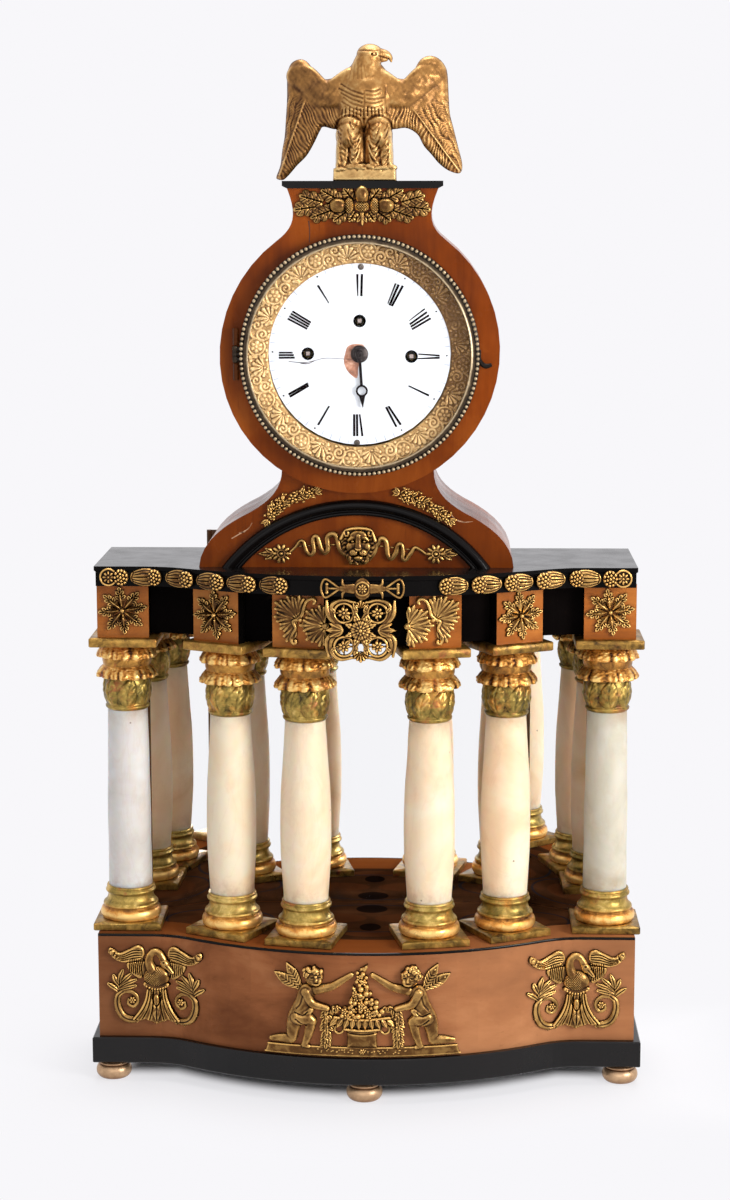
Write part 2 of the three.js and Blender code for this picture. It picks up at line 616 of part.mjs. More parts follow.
// Head case, its proud drum front, arch moulding, cap and back door
function buildHead() {
  const outline = headOutline();
  const body = frontal(outline, HEAD_FRONT_Y, HEAD_BACK_Y);
  const boardY = HEAD_FRONT_Y + HEAD_FRONT_BOARD;
  const cavity = frontal(inset(outline, HEAD_WALL), boardY, HEAD_BACK_Y + OVERCUT);
  const mouth = rodY(APERTURE_RADIUS, DRUM_FRONT_Y - OVERCUT, boardY + OVERCUT, 0, DRUM_LIFT, RING_SIDES);
  place(head, 'head_case', cut(body, cavity, mouth), VENEER());

  const face = cut(frontal(drumOutline(), DRUM_FRONT_Y, HEAD_FRONT_Y), mouth);
  const knuckles = [1, -1].flatMap((side) => {
    const z0 = DRUM_LIFT + side * (KNUCKLE_LENGTH / 2 + GAP);
    const z1 = DRUM_LIFT + side * (1.5 * KNUCKLE_LENGTH);
    const [low, high] = side > 0 ? [z0, z1] : [z1, z0];
    const edge = LUG_THICKNESS / 2;
    const lug = block(BEZEL_HINGE_X - edge, BEZEL_HINGE_X + edge, BEZEL_HINGE_Y, DRUM_FRONT_Y + LAP, low, high);
    return [rodZ(KNUCKLE_RADIUS, low, high, BEZEL_HINGE_X, BEZEL_HINGE_Y), lug];
  });
  place(head, 'drum_front', join(face, ...knuckles), VENEER());

  const archCentre = ARCH_RISE - ARCH_OUTER_RADIUS;
  const ring = new THREE.Shape();
  const outerTurn = Math.acos(-archCentre / ARCH_OUTER_RADIUS);
  const innerRadius = ARCH_OUTER_RADIUS - ARCH_WIDTH;
  const innerTurn = Math.acos(-archCentre / innerRadius);
  const up = Math.PI / 2;
  ring.absarc(0, archCentre, ARCH_OUTER_RADIUS, up - outerTurn, up + outerTurn, false);
  ring.absarc(0, archCentre, innerRadius, up + innerTurn, up - innerTurn, true);
  const arch = leaned(ring.getPoints(14));
  place(head, 'arch_moulding', frontal(arch, HEAD_FRONT_Y - ARCH_PROUD, HEAD_FRONT_Y), EBONISED());

  const capZ = DRUM_LIFT + NECK_RISE;
  const c = CAP_HALF_WIDTH;
  const profile = [[-c + CAP_OVERHANG, 0], [c - CAP_OVERHANG, 0], [c, CAP_OVERHANG / 2], [c, CAP_HEIGHT],
    [-c, CAP_HEIGHT], [-c, CAP_OVERHANG / 2]].map(([x, z]) => new THREE.Vector2(lean(capZ) + x, capZ + z));
  place(head, 'head_cap', frontal(profile, DRUM_FRONT_Y - CAP_OVERHANG, HEAD_BACK_Y), EBONISED());

  const doorY = HEAD_BACK_Y + GAP;
  const leaf = frontal(inset(outline, DOOR_MARGIN), doorY, doorY + DOOR_THICKNESS);
  const pinX = lean(0) - PEDESTAL_HALF_WIDTH - KNUCKLE_RADIUS / 2;
  const pinY = doorY + DOOR_THICKNESS / 2;
  const pinTop = DOOR_HINGE_LIFT + KNUCKLE_LENGTH;
  const barrel = rodZ(KNUCKLE_RADIUS, DOOR_HINGE_LIFT, pinTop, pinX, pinY);
  const strap = block(pinX, pinX + STRAP_LENGTH, pinY - LAP, pinY + LAP, DOOR_HINGE_LIFT, pinTop);
  place(head, 'back_door', join(leaf, barrel, strap), PINE());
}

// Bezel with its glass, the ornamental dial surround and the enamel dial
function buildDial() {
  const r = BEZEL_RADIUS;
  const inner = r - BEZEL_WIDTH;
  const rebate = inner + GLASS_REBATE;
  const f = BEZEL_FRONT_Y;
  const b = BEZEL_BACK_Y;
  const lipY = f + 0.4 * BEZEL_DEPTH;
  const ring = turnedY([[inner, lipY], [inner, f + 0.8], [inner + 1.5, f], [r - 2, f], [r, f + 2], [r, b],
    [rebate, b], [rebate, lipY], [inner, lipY]]);
  const k = KNUCKLE_LENGTH / 2;
  const edge = LUG_THICKNESS / 2;
  const barrel = rodZ(KNUCKLE_RADIUS, -k, k, BEZEL_HINGE_X, BEZEL_HINGE_Y);
  const lug = block(BEZEL_HINGE_X, -r + LAP, BEZEL_HINGE_Y - edge, BEZEL_HINGE_Y + edge, -k, k);
  const tab = block(r - 2 * LAP, r + CATCH_REACH, b - CATCH_THICKNESS, b,
    -CATCH_DROP - CATCH_HEIGHT / 2, -CATCH_DROP + CATCH_HEIGHT / 2);
  place(dialCentre, 'bezel', join(ring, barrel, lug, tab), BRASS());
  const pane = [[0, lipY + RUN], [rebate - RUN, lipY + RUN], [rebate - RUN, lipY + RUN + GLASS_THICKNESS],
    [0, lipY + RUN + GLASS_THICKNESS]];
  place(dialCentre, 'bezel_glass', turnedY(pane), GLASS());

  const seat = DRUM_FRONT_Y;
  const eye = DIAL_RADIUS + RUN;
  const rim = APERTURE_RADIUS + SURROUND_SEAT;
  const hub = APERTURE_RADIUS - 2 * GAP;
  const crest = seat - SURROUND_PROUD;
  const dish = [[eye, DIAL_FRONT_Y - 1], [eye + 3, crest], [rim, crest], [rim, seat], [hub, seat], [hub, seat + 1],
    [eye, DIAL_BACK_Y], [eye, DIAL_FRONT_Y - 1]];
  place(dialCentre, 'dial_surround', turnedY(dish), GILT());

  const crown = DIAL_FRONT_Y - DIAL_CROWN;
  const plate = turnedY([[0, crown], [0.5 * DIAL_RADIUS, DIAL_FRONT_Y - 0.75 * DIAL_CROWN],
    [DIAL_RADIUS, DIAL_FRONT_Y], [DIAL_RADIUS, DIAL_BACK_Y], [0, DIAL_BACK_Y]]);
  const y0 = crown - OVERCUT;
  const y1 = DIAL_BACK_Y + OVERCUT;
  const bores = [rodY(DIAL_BORE, y0, y1)];
  for (const [x, z] of windingPlaces()) bores.push(rodY(WINDING_BORE, y0, y1, x, z));
  place(dialCentre, 'dial', cut(plate, ...bores), ENAMEL());
}

function windingPlaces() {
  return [[BARREL_X, -GOING_BARREL_DROP], [-BARREL_X, 0], [0, QUARTER_BARREL_Z]];
}

// Toothed outline: narrow pointed teeth that run clear in mesh; phase turns the first tooth from +x
function teeth(count, module, phase) {
  const pitch = (module * count) / 2;
  const root = pitch - 1.25 * module;
  const tip = pitch + 0.8 * module;
  const step = (2 * Math.PI) / count;
  const points = [];
  for (let i = 0; i < count; i++) {
    const a = phase + i * step;
    for (const [radius, share] of [[root, -0.27], [tip, -0.07], [tip, 0.07], [root, 0.27]]) {
      points.push(new THREE.Vector2(radius * Math.cos(a + share * step), radius * Math.sin(a + share * step)));
    }
  }
  return points;
}

function wheel(count, module, phase, y, thickness = WHEEL_THICKNESS) {
  return frontal(teeth(count, module, phase), y, y + thickness);
}

// Phase of a gear that meshes with another: a gap faces the tooth on the line of centres
function meshPhase(leadTeeth, leadPhase, count, direction) {
  const turn = ((direction - leadPhase) * leadTeeth) / (2 * Math.PI);
  const share = turn - Math.floor(turn);
  return direction + Math.PI - ((0.5 - share) * 2 * Math.PI) / count;
}

// Movement frame: two plates, pillars, legs against the case front and the pendulum cock
function buildPlates() {
  const hw = PLATE_WIDTH / 2;
  const hh = PLATE_HEIGHT / 2;
  const corners = [[1, 1], [-1, 1], [-1, -1], [1, -1]];
  const px = hw - PILLAR_MARGIN;
  const pz = hh - PILLAR_MARGIN;
  const front = block(-hw, hw, FRONT_PLATE_Y, PLATE_INNER_Y, -hh, hh);
  const legs = corners.map(([x, z]) => rodY(PILLAR_RADIUS - LAP, FRONT_PLATE_Y - PLATE_LEG, FRONT_PLATE_Y + LAP,
    x * (hw - PILLAR_RADIUS), z * (hh - PILLAR_RADIUS)));
  const stud = rodY(TRAIN_ARBOR, HOUR_WHEEL_Y - LAP, FRONT_PLATE_Y + LAP, 0, -MOTION_DISTANCE);
  const y0 = FRONT_PLATE_Y - OVERCUT;
  const y1 = PLATE_INNER_Y + OVERCUT;
  const bores = [rodY(CENTRE_ARBOR + RUN, y0, y1)];
  for (const [x, z] of windingPlaces()) bores.push(rodY(BARREL_ARBOR + RUN, y0, y1, x, z));
  place(dialCentre, 'front_plate', cut(join(front, ...legs, stud), ...bores), BRASS());

  const rear = BACK_PLATE_Y + PLATE_THICKNESS;
  const back = block(-hw, hw, BACK_PLATE_Y, rear, -hh, hh);
  const pillars = corners.map(([x, z]) => rodY(PILLAR_RADIUS, PLATE_INNER_Y, BACK_PLATE_Y + LAP, x * px, z * pz));
  const cockZ = PALLET_Z + SPRING_RISE + GAP;
  const ch = COCK_WIDTH / 2;
  const cock = block(-ch, ch, rear - LAP, PENDULUM_Y + COCK_OVERHANG, cockZ, cockZ + COCK_HEIGHT);
  const bore = (radius, x, z) => rodY(radius + RUN, BACK_PLATE_Y - OVERCUT, rear + OVERCUT, x, z);
  const holes = [bore(CENTRE_ARBOR, 0, 0)];
  for (const [x, z] of windingPlaces()) holes.push(bore(BARREL_ARBOR, x, z));
  for (const [x, z] of [[THIRD_X, THIRD_Z], [0, ESCAPE_Z], [0, PALLET_Z]]) holes.push(bore(TRAIN_ARBOR, x, z));
  place(dialCentre, 'back_plate', cut(join(back, ...pillars, cock), ...holes), BRASS());
}

// Spring barrels with their winding squares; the going barrel carries the great wheel
function buildBarrels(centrePhase) {
  const y1 = BACK_PLATE_Y + PLATE_THICKNESS - GAP;
  const squareY = DIAL_BACK_Y + GAP;
  const h = WINDING_SQUARE / 2;
  const arbor = () => [rodY(BARREL_ARBOR, FRONT_PLATE_Y - LAP, y1), block(-h, h, squareY, FRONT_PLATE_Y, -h, h)];
  const drum = (radius, y) => rodY(radius, y, y + BARREL_LENGTH, 0, 0, RING_SIDES);
  const toGoing = Math.atan2(-GOING_BARREL_DROP, BARREL_X);
  const phase = meshPhase(CENTRE_PINION_LEAVES, centrePhase, GREAT_TEETH, toGoing);
  const great = wheel(GREAT_TEETH, GREAT_MODULE, phase, GREAT_Y);
  const going = join(great, drum(BARREL_RADIUS, BARREL_Y - LAP), ...arbor());
  place(dialCentre, 'going_barrel', going, BRASS()).position.set(BARREL_X, 0, -GOING_BARREL_DROP);
  const flange = rodY(BARREL_RADIUS + STRIKE_FLANGE, GREAT_Y, BARREL_Y + LAP, 0, 0, RING_SIDES);
  const striking = join(drum(BARREL_RADIUS, BARREL_Y), flange, ...arbor());
  place(dialCentre, 'strike_barrel', striking, BRASS()).position.set(-BARREL_X, 0, 0);
  const quarter = join(drum(QUARTER_BARREL_RADIUS, BARREL_Y + WHEEL_SPACE), ...arbor());
  place(dialCentre, 'quarter_barrel', quarter, BRASS()).position.set(0, 0, QUARTER_BARREL_Z);
}

// Going train: centre wheel, third wheel and escape wheel behind the back plate
function buildTrain() {
  const plateY = BACK_PLATE_Y + GAP;
  const centrePhase = 0;
  const arbor = rodY(CENTRE_ARBOR, HAND_Y - 2 * LAP, TRAIN_Y + WHEEL_THICKNESS + LAP);
  const cannon = wheel(CANNON_LEAVES, CANNON_MODULE, centrePhase, MINUTE_WHEEL_Y - GAP, WHEEL_THICKNESS + 2 * GAP);
  const pinion = wheel(CENTRE_PINION_LEAVES, GREAT_MODULE, centrePhase, GREAT_Y - GAP, WHEEL_THICKNESS + 2 * GAP);
  const centre = wheel(CENTRE_TEETH, CENTRE_MODULE, centrePhase, TRAIN_Y);
  place(dialCentre, 'centre_wheel', join(arbor, cannon, pinion, centre), BRASS());
  buildBarrels(centrePhase);

  const toThird = Math.atan2(THIRD_Z, THIRD_X);
  const thirdPinionPhase = meshPhase(CENTRE_TEETH, centrePhase, TRAIN_PINION_LEAVES, toThird);
  const leafLength = WHEEL_THICKNESS * 2 + GAP;
  const leaves = wheel(TRAIN_PINION_LEAVES, CENTRE_MODULE, thirdPinionPhase, TRAIN_Y - GAP, leafLength);
  const third = wheel(THIRD_TEETH, THIRD_MODULE, 0, THIRD_WHEEL_Y);
  const thirdArbor = rodY(TRAIN_ARBOR, plateY, THIRD_WHEEL_Y + WHEEL_THICKNESS + LAP);
  const thirdWheel = join(leaves, third, thirdArbor);
  place(dialCentre, 'third_wheel', thirdWheel, BRASS()).position.set(THIRD_X, 0, THIRD_Z);

  const toEscape = Math.atan2(ESCAPE_Z - THIRD_Z, -THIRD_X);
  const escapePhase = meshPhase(THIRD_TEETH, 0, TRAIN_PINION_LEAVES, toEscape);
  const step = (2 * Math.PI) / ESCAPE_TEETH;
  const hooked = [];
  for (let i = 0; i < ESCAPE_TEETH; i++) {
    const root = ESCAPE_RADIUS - ESCAPE_TOOTH;
    hooked.push(new THREE.Vector2(root * Math.cos(i * step), root * Math.sin(i * step)));
    const tip = (i + 0.25) * step;
    hooked.push(new THREE.Vector2(ESCAPE_RADIUS * Math.cos(tip), ESCAPE_RADIUS * Math.sin(tip)));
    const heel = (i + 0.35) * step;
    hooked.push(new THREE.Vector2(root * Math.cos(heel), root * Math.sin(heel)));
  }
  const pinionY = THIRD_WHEEL_Y - GAP;
  const escapeLeaves = wheel(TRAIN_PINION_LEAVES, THIRD_MODULE, escapePhase, pinionY, WHEEL_THICKNESS + 2 * GAP);
  const escapeArbor = rodY(TRAIN_ARBOR, plateY, THIRD_WHEEL_Y + WHEEL_THICKNESS + LAP);
  const escape = join(frontal(hooked, TRAIN_Y, TRAIN_Y + WHEEL_THICKNESS), escapeLeaves, escapeArbor);
  place(dialCentre, 'escape_wheel', escape, BRASS()).position.set(0, 0, ESCAPE_Z);
}

// Motion work behind the dial, and the hour hand on its pipe
function buildMotionWork() {
  const down = -Math.PI / 2;
  const minutePhase = meshPhase(CANNON_LEAVES, 0, MINUTE_TEETH, down);
  const minute = wheel(MINUTE_TEETH, CANNON_MODULE, minutePhase, MINUTE_WHEEL_Y);
  const leaves = wheel(MINUTE_LEAVES, HOUR_MODULE, 0, HOUR_WHEEL_Y - GAP, MINUTE_WHEEL_Y - HOUR_WHEEL_Y + 2 * GAP);
  const bore = rodY(TRAIN_ARBOR + RUN, HOUR_WHEEL_Y - OVERCUT, FRONT_PLATE_Y);
  const minuteWheel = cut(join(minute, leaves), bore);
  place(dialCentre, 'minute_wheel', minuteWheel, BRASS()).position.set(0, 0, -MOTION_DISTANCE);

  const hourPhase = meshPhase(MINUTE_LEAVES, 0, HOUR_TEETH, -down);
  const hour = wheel(HOUR_TEETH, HOUR_MODULE, hourPhase, HOUR_WHEEL_Y);
  const pipe = rodY(PIPE_OUTER, HAND_Y - GAP, HOUR_WHEEL_Y + LAP);
  const throat = rodY(PIPE_INNER, HAND_Y - OVERCUT, HOUR_WHEEL_Y + WHEEL_THICKNESS + OVERCUT);
  place(dialCentre, 'hour_wheel', cut(join(hour, pipe), throat), BRASS());

  const y0 = HAND_Y;
  const y1 = HAND_Y + HAND_THICKNESS;
  const ringZ = -HAND_RING_REACH;
  const boss = rodY(HAND_BOSS_RADIUS, y0, y1, 0, 0, COLUMN_SIDES);
  const s = HAND_STEM_WIDTH / 2;
  const stem = block(-s, s, y0, y1, ringZ + HAND_RING_RADIUS - LAP, LAP - HAND_BOSS_RADIUS);
  const hole = rodY(HAND_RING_BORE, y0 - OVERCUT, y1 + OVERCUT, 0, ringZ);
  const eye = cut(rodY(HAND_RING_RADIUS, y0, y1, 0, ringZ), hole);
  const p = HAND_POINT_WIDTH / 2;
  const rootZ = ringZ - (HAND_RING_RADIUS + HAND_RING_BORE) / 2;
  const tip = [[0, -HAND_REACH], [p, rootZ], [-p, rootZ]].map(([x, z]) => new THREE.Vector2(x, z));
  const blade = join(boss, stem, eye, frontal(tip, y0, y1)).rotateY(-HAND_TURN);
  place(dialCentre, 'hour_hand', cut(blade, rodY(PIPE_OUTER + RUN, y0 - OVERCUT, y1 + OVERCUT)), STEEL());
}

// Pallets with their crutch, and the pendulum, swing on one line under the cock
function buildPendulum() {
  const crutchBack = CRUTCH_Y + CRUTCH_THICKNESS;
  const arbor = rodY(TRAIN_ARBOR, BACK_PLATE_Y + GAP, crutchBack);
  const reach = ESCAPE_RADIUS + PALLET_CLEARANCE;
  const tipX = reach * Math.cos(PALLET_ANGLE);
  const tipZ = reach * Math.sin(PALLET_ANGLE) - PALLET_RISE;
  const innerZ = reach - PALLET_RISE + GAP;
  const half = [[0, innerZ], [0.48 * tipX, innerZ], [tipX, tipZ], [tipX + PALLET_NIB, tipZ], [0.75 * tipX, -LAP],
    [2, 1.8]];
  const bridge = mirrored(half.map(([x, z]) => new THREE.Vector2(x, z)));
  const anchor = frontal(bridge, TRAIN_Y, TRAIN_Y + WHEEL_THICKNESS);
  const l = CRUTCH_LENGTH;
  const w = CRUTCH_WIDTH / 2;
  const arm = block(-w, w, CRUTCH_Y, crutchBack, -l, 0);
  const clear = PENDULUM_ROD + GAP;
  const yoke = block(-clear - PRONG, clear + PRONG, CRUTCH_Y, crutchBack, -l - CRUTCH_WIDTH, -l + CRUTCH_WIDTH);
  const prongs = [-1, 1].map((side) => {
    const x = side * (clear + PRONG / 2);
    return block(x - PRONG / 2, x + PRONG / 2, CRUTCH_Y, PENDULUM_Y + PENDULUM_ROD, -l - w, -l + w);
  });
  place(dialCentre, 'pallets', join(arbor, anchor, arm, yoke, ...prongs), STEEL()).position.z = PALLET_Z;

  const y = PENDULUM_Y;
  const sw = SPRING_WIDTH / 2;
  const st = SPRING_THICKNESS / 2;
  const spring = block(-sw, sw, y - st, y + st, -SPRING_DROP, SPRING_RISE);
  const rod = rodZ(PENDULUM_ROD, -PENDULUM_LENGTH, LAP - SPRING_DROP, 0, y);
  const t = BOB_THICKNESS / 2;
  const shoulder = 0.6 * BOB_RADIUS;
  const lens = turnedY([[0, -t], [shoulder, -0.8 * t], [BOB_RADIUS, 0], [shoulder, 0.8 * t], [0, t]])
    .translate(0, y, -PENDULUM_LENGTH);
  place(dialCentre, 'pendulum', join(spring, rod, lens), BRASS()).position.z = PALLET_Z;
}

// Carved eagle on its plinth, wings half open, head turned to its left
function buildEagle() {
  const p = EAGLE_PLINTH_WIDTH / 2;
  const d = EAGLE_PLINTH_DEPTH / 2;
  const h = EAGLE_HEIGHT;
  const s = EAGLE_HALF_SPAN;
  const plinth = block(-p, p, -d, d, 0, EAGLE_PLINTH_HEIGHT);
  const body = ellipsoid(0, 0, 0.45 * h, 0.19 * h, 0.17 * h, 0.3 * h);
  const chest = ellipsoid(0, -0.06 * h, 0.55 * h, 0.17 * h, 0.15 * h, 0.2 * h);
  const neck = ellipsoid(0.02 * h, -0.05 * h, 0.76 * h, 0.1 * h, 0.1 * h, 0.16 * h);
  const skull = ellipsoid(0.05 * h, -0.07 * h, 0.9 * h, 0.1 * h, 0.1 * h, 0.1 * h);
  const beak = new THREE.ConeGeometry(0.05 * h, 0.14 * h, 8).rotateZ(-1.9).translate(0.17 * h, -0.09 * h, 0.87 * h);
  const thigh = ellipsoid(0, -0.04 * h, 0.24 * h, 0.09 * h, 0.1 * h, 0.15 * h);
  const thighs = [-1, 1].map((side) => thigh.clone().translate(side * 0.12 * h, 0, 0));
  const tail = ellipsoid(0, 0.16 * h, 0.26 * h, 0.14 * h, 0.07 * h, 0.17 * h);
  const wings = [-1, 1].map((side) => {
    const outline = [[0.08, 0.81], [0.26, 0.775], [0.36, 0.745], [0.45, 0.75], [0.525, 0.785], [0.565, 0.84],
      [0.63, 0.893], [0.7, 0.896], [0.78, 0.868], [0.835, 0.797], [0.863, 0.626], [0.877, 0.484], [0.905, 0.363],
      [0.94, 0.245], [0.978, 0.12], [1, 0.046], [0.95, 0.02], [0.895, 0.037], [0.81, 0.088], [0.72, 0.156],
      [0.626, 0.228], [0.55, 0.313], [0.444, 0.393], [0.287, 0.383], [0.12, 0.43]];
    const points = outline.map(([x, z]) => new THREE.Vector2(side * x * s, z * h));
    return frontal(side > 0 ? points.reverse() : points, 0.02 * h, 0.14 * h);
  });
  const eagle = join(plinth, body, chest, neck, skull, beak, ...thighs, tail, ...wings);
  const capTop = DRUM_LIFT + NECK_RISE + CAP_HEIGHT;
  place(head, 'eagle', eagle, GILT()).position.set(lean(capTop), EAGLE_Y, capTop);
}

buildFeet();
buildBase();
const stations = buildColumns();
buildEntablature(stations);
buildNiche();
buildHead();
buildDial();
buildPlates();
buildTrain();
buildMotionWork();
buildPendulum();
buildEagle();

// Origin: the middle of the footprint, on the surface the clock stands on
clock.position.y = (SWELL + PLINTH_MOULDING_OUTSET - BACK_Y) / 2;

export default clock;
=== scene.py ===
"""Portico mantel clock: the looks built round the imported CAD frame."""

import math

import bpy
import numpy as np
from mathutils import Matrix, Vector
from mathutils.bvhtree import BVHTree


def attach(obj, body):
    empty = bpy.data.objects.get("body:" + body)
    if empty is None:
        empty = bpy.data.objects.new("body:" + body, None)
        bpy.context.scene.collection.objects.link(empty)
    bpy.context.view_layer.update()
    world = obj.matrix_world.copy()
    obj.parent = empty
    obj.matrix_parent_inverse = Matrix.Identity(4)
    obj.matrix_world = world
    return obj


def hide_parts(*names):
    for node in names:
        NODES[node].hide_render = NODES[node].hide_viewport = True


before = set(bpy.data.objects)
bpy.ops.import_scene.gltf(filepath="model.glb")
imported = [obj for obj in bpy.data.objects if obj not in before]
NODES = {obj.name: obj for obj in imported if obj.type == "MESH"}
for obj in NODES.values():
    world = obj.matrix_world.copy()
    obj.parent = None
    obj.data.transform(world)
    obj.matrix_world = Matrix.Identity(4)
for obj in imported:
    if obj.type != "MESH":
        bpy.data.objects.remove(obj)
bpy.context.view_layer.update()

# Millimetres to metres, and the y of the plan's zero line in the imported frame
MM = 0.001
PLAN = -17.2

# Serpentine front: a swell between two hollows, with flat wings
SWELL_RADIUS = 188.27
SWELL_CENTRE = 156.27
HOLLOW_RADIUS = 45.0
HOLLOW_X = 118.04
SWELL_END = 95.27

# Heights of the case
BOX_TOP = 82.7
SHAFT_FOOT = 105.0
SHAFT_TOP = 205.0
CAPITAL_TOP = 245.5
CORNICE_TOP = 286.25
DIAL_X = -2.5
DIAL_Z = 399.5

# Where a finish or a painted shade starts and where it is full, in metres
KNUCKLE_Y = (-0.0264, -0.0268)
FOOT_DIRT = (0.119, 0.105)
NECK_DIRT = (0.194, 0.206)
MIRROR_FOOT = (0.1, 0.086)

# Steps between two points of a smooth closed outline
LOOP_STEPS = 6

# Draws that make no two columns alike
rng = np.random.default_rng(7)


# Colours and node trees


def rgb(r, g, b):
    """A colour picked as 0 to 255 display values, as linear RGBA."""
    c = np.array([r, g, b]) / 255
    linear = np.where(c <= 0.04045, c / 12.92, ((c + 0.055) / 1.055) ** 2.4)
    return (*map(float, linear), 1.0)


class Graph:
    """The node tree of one material."""

    def __init__(self, name):
        self.material = bpy.data.materials.new(name)
        self.material.use_nodes = True
        self.tree = self.material.node_tree
        self.bsdf = self.tree.nodes["Principled BSDF"]
        self.output = self.tree.nodes["Material Output"]
        self.place = self.add("ShaderNodeTexCoord").outputs["Object"]

    def add(self, kind, inputs=None, **settings):
        node = self.tree.nodes.new(kind)
        for key, value in settings.items():
            setattr(node, key, value)
        for key, value in (inputs or {}).items():
            self.put(node.inputs[key], value)
        return node

    def put(self, socket, value):
        if isinstance(value, bpy.types.NodeSocket):
            self.tree.links.new(value, socket)
        else:
            socket.default_value = value

    def look(self, **values):
        for key, value in values.items():
            self.put(self.bsdf.inputs[key.replace("_", " ")], value)
        return self.material

    def stretched(self, scale):
        return self.add("ShaderNodeMapping", {"Vector": self.place, "Scale": scale}).outputs[0]

    def noise(self, scale, detail=4.0, rough=0.55, warp=0.0, vector=None):
        values = {"Scale": scale, "Detail": detail, "Roughness": rough, "Distortion": warp}
        values["Vector"] = vector or self.place
        return self.add("ShaderNodeTexNoise", values).outputs["Fac"]

    def cells(self, scale):
        return self.add("ShaderNodeTexVoronoi", {"Vector": self.place, "Scale": scale}).outputs["Distance"]

    def math(self, operation, *values):
        return self.add("ShaderNodeMath", dict(enumerate(values)), operation=operation).outputs[0]

    def times(self, a, b):
        return self.math("MULTIPLY", a, b)

    def plus(self, a, b):
        return self.math("ADD", a, b)

    def minus(self, a, b):
        return self.math("SUBTRACT", a, b)

    def larger(self, a, b):
        return self.math("MAXIMUM", a, b)

    def ramp(self, fac, *stops):
        node = self.add("ShaderNodeValToRGB", {0: fac})
        band = node.color_ramp
        while len(band.elements) < len(stops):
            band.elements.new(1.0)
        for element, (place, colour) in zip(band.elements, stops):
            element.position = place
            element.color = colour if isinstance(colour, tuple) else (colour, colour, colour, 1)
        return node.outputs[0]

    def wander(self, low, high, scale, detail=4.0):
        """A colour or a number that drifts between two."""
        return self.ramp(self.noise(scale, detail), (0.3, low), (0.7, high))

    def step(self, fac, low, high):
        """A soft step from 0 to 1; with low above high it falls instead."""
        values = {"Value": fac, "From Min": low, "From Max": high}
        return self.add("ShaderNodeMapRange", values, interpolation_type="SMOOTHSTEP").outputs[0]

    def blend(self, fac, a, b):
        return self.add("ShaderNodeMix", {"Factor": fac, 6: a, 7: b}, data_type="RGBA").outputs[2]

    def coat(self, colour, over, mask, share):
        """A colour with another laid over it where a mask is 1."""
        return self.blend(self.times(mask, share), colour, over)

    def bump(self, height, depth, strength):
        values = {"Strength": strength, "Distance": depth, "Height": height}
        self.put(self.bsdf.inputs["Normal"], self.add("ShaderNodeBump", values).outputs[0])

    def attribute(self, name):
        return self.add("ShaderNodeAttribute", attribute_name=name).outputs["Fac"]

    def split(self, vector=None):
        return self.add("ShaderNodeSeparateXYZ", {0: vector or self.place}).outputs

    def facing(self):
        return self.split(self.add("ShaderNodeNewGeometry").outputs["True Normal"])

    def cover(self, fac, shader):
        """Shows another shader in place of the surface where a mask is 1."""
        mixed = self.add("ShaderNodeMixShader", {0: fac, 1: self.bsdf.outputs[0], 2: shader})
        self.put(self.output.inputs["Surface"], mixed.outputs[0])


def veneer(name, dark, mid, light, grain, gloss=0.16):
    """French-polished fruitwood: broad clouding, fine streaks along the grain, short pores."""
    g = Graph(name)
    along = g.stretched(grain)
    cloud = g.noise(16, 3, 0.5, 0.6)
    streak = g.noise(60, 6, 0.65, 0.4, along)
    fine = g.noise(420, 3, 0.6, 0, along)
    tone = g.plus(g.times(cloud, 0.55), g.times(streak, 0.45))
    colour = g.ramp(tone, (0.32, dark), (0.5, mid), (0.68, light))
    colour = g.coat(colour, dark, g.step(fine, 0.62, 0.74), 0.35)
    colour = g.coat(colour, light, g.step(g.noise(38, 5, 0.6, 1.5), 0.63, 0.72), 0.18)
    g.bump(fine, 0.00006, 0.5)
    g.look(Base_Color=colour, Roughness=g.wander(0.16, 0.3, 55), Specular_IOR_Level=gloss)
    return g, colour


def head_veneer():
    """Veneer of the head: painted shade makes it darker at the left and low down, glossier sides, hinge
    knuckles painted dark as shade.
    """
    g, colour = veneer("head_veneer", rgb(84, 32, 5), rgb(138, 61, 9), rgb(176, 90, 26), (1, 1, 0.12))
    x, y, z = g.split()
    # Painted shade: the veneer darkens towards the left and low down.
    shade = g.larger(g.step(x, -0.03, -0.075), g.step(z, 0.38, 0.345))
    colour = g.coat(colour, rgb(46, 20, 4), shade, 0.3)
    # Painted shade: the hinge knuckles in front of the drum are painted dark brown.
    colour = g.blend(g.step(y, *KNUCKLE_Y), colour, rgb(78, 40, 16))
    side = g.step(g.math("ABSOLUTE", g.facing()[0]), 0.5, 0.9)
    return g.look(Base_Color=colour, Specular_IOR_Level=g.plus(g.times(side, 0.4), 0.07))


def block_veneer():
    """Veneer on the fronts of the frieze blocks, with painted shade towards the left; their sides are black.
    """
    g, colour = veneer("block_veneer", rgb(122, 62, 18), rgb(174, 98, 36), rgb(206, 132, 60), (0.15, 1, 1))
    # Painted shade: the blocks darken towards the left.
    colour = g.coat(colour, rgb(84, 40, 10), g.step(g.split()[0], 0.0, -0.06), 0.25)
    front = g.step(g.facing()[1], -0.7, -0.8)
    return g.look(Base_Color=g.blend(front, rgb(10, 8, 7), colour))


def base_veneer():
    """Veneer of the base: redder on its upper face, painted shade at the left end, painted light at the
    right.
    """
    g, colour = veneer("base_veneer", rgb(106, 60, 34), rgb(150, 92, 56), rgb(184, 124, 82), (0.1, 1, 1))
    x = g.split()[0]
    top = g.step(g.facing()[2], 0.7, 0.9)
    colour = g.coat(colour, rgb(146, 78, 32), top, 0.75)
    # Painted shade: the left end is darkened.
    colour = g.coat(colour, rgb(76, 42, 24), g.step(x, -0.1, -0.128), 0.55)
    # Painted light: the right part is paled.
    colour = g.coat(colour, rgb(206, 146, 100), g.step(x, 0.0, 0.07), 0.28)
    return g.look(Base_Color=colour, Specular_IOR_Level=g.times(g.minus(1.0, top), 0.05))


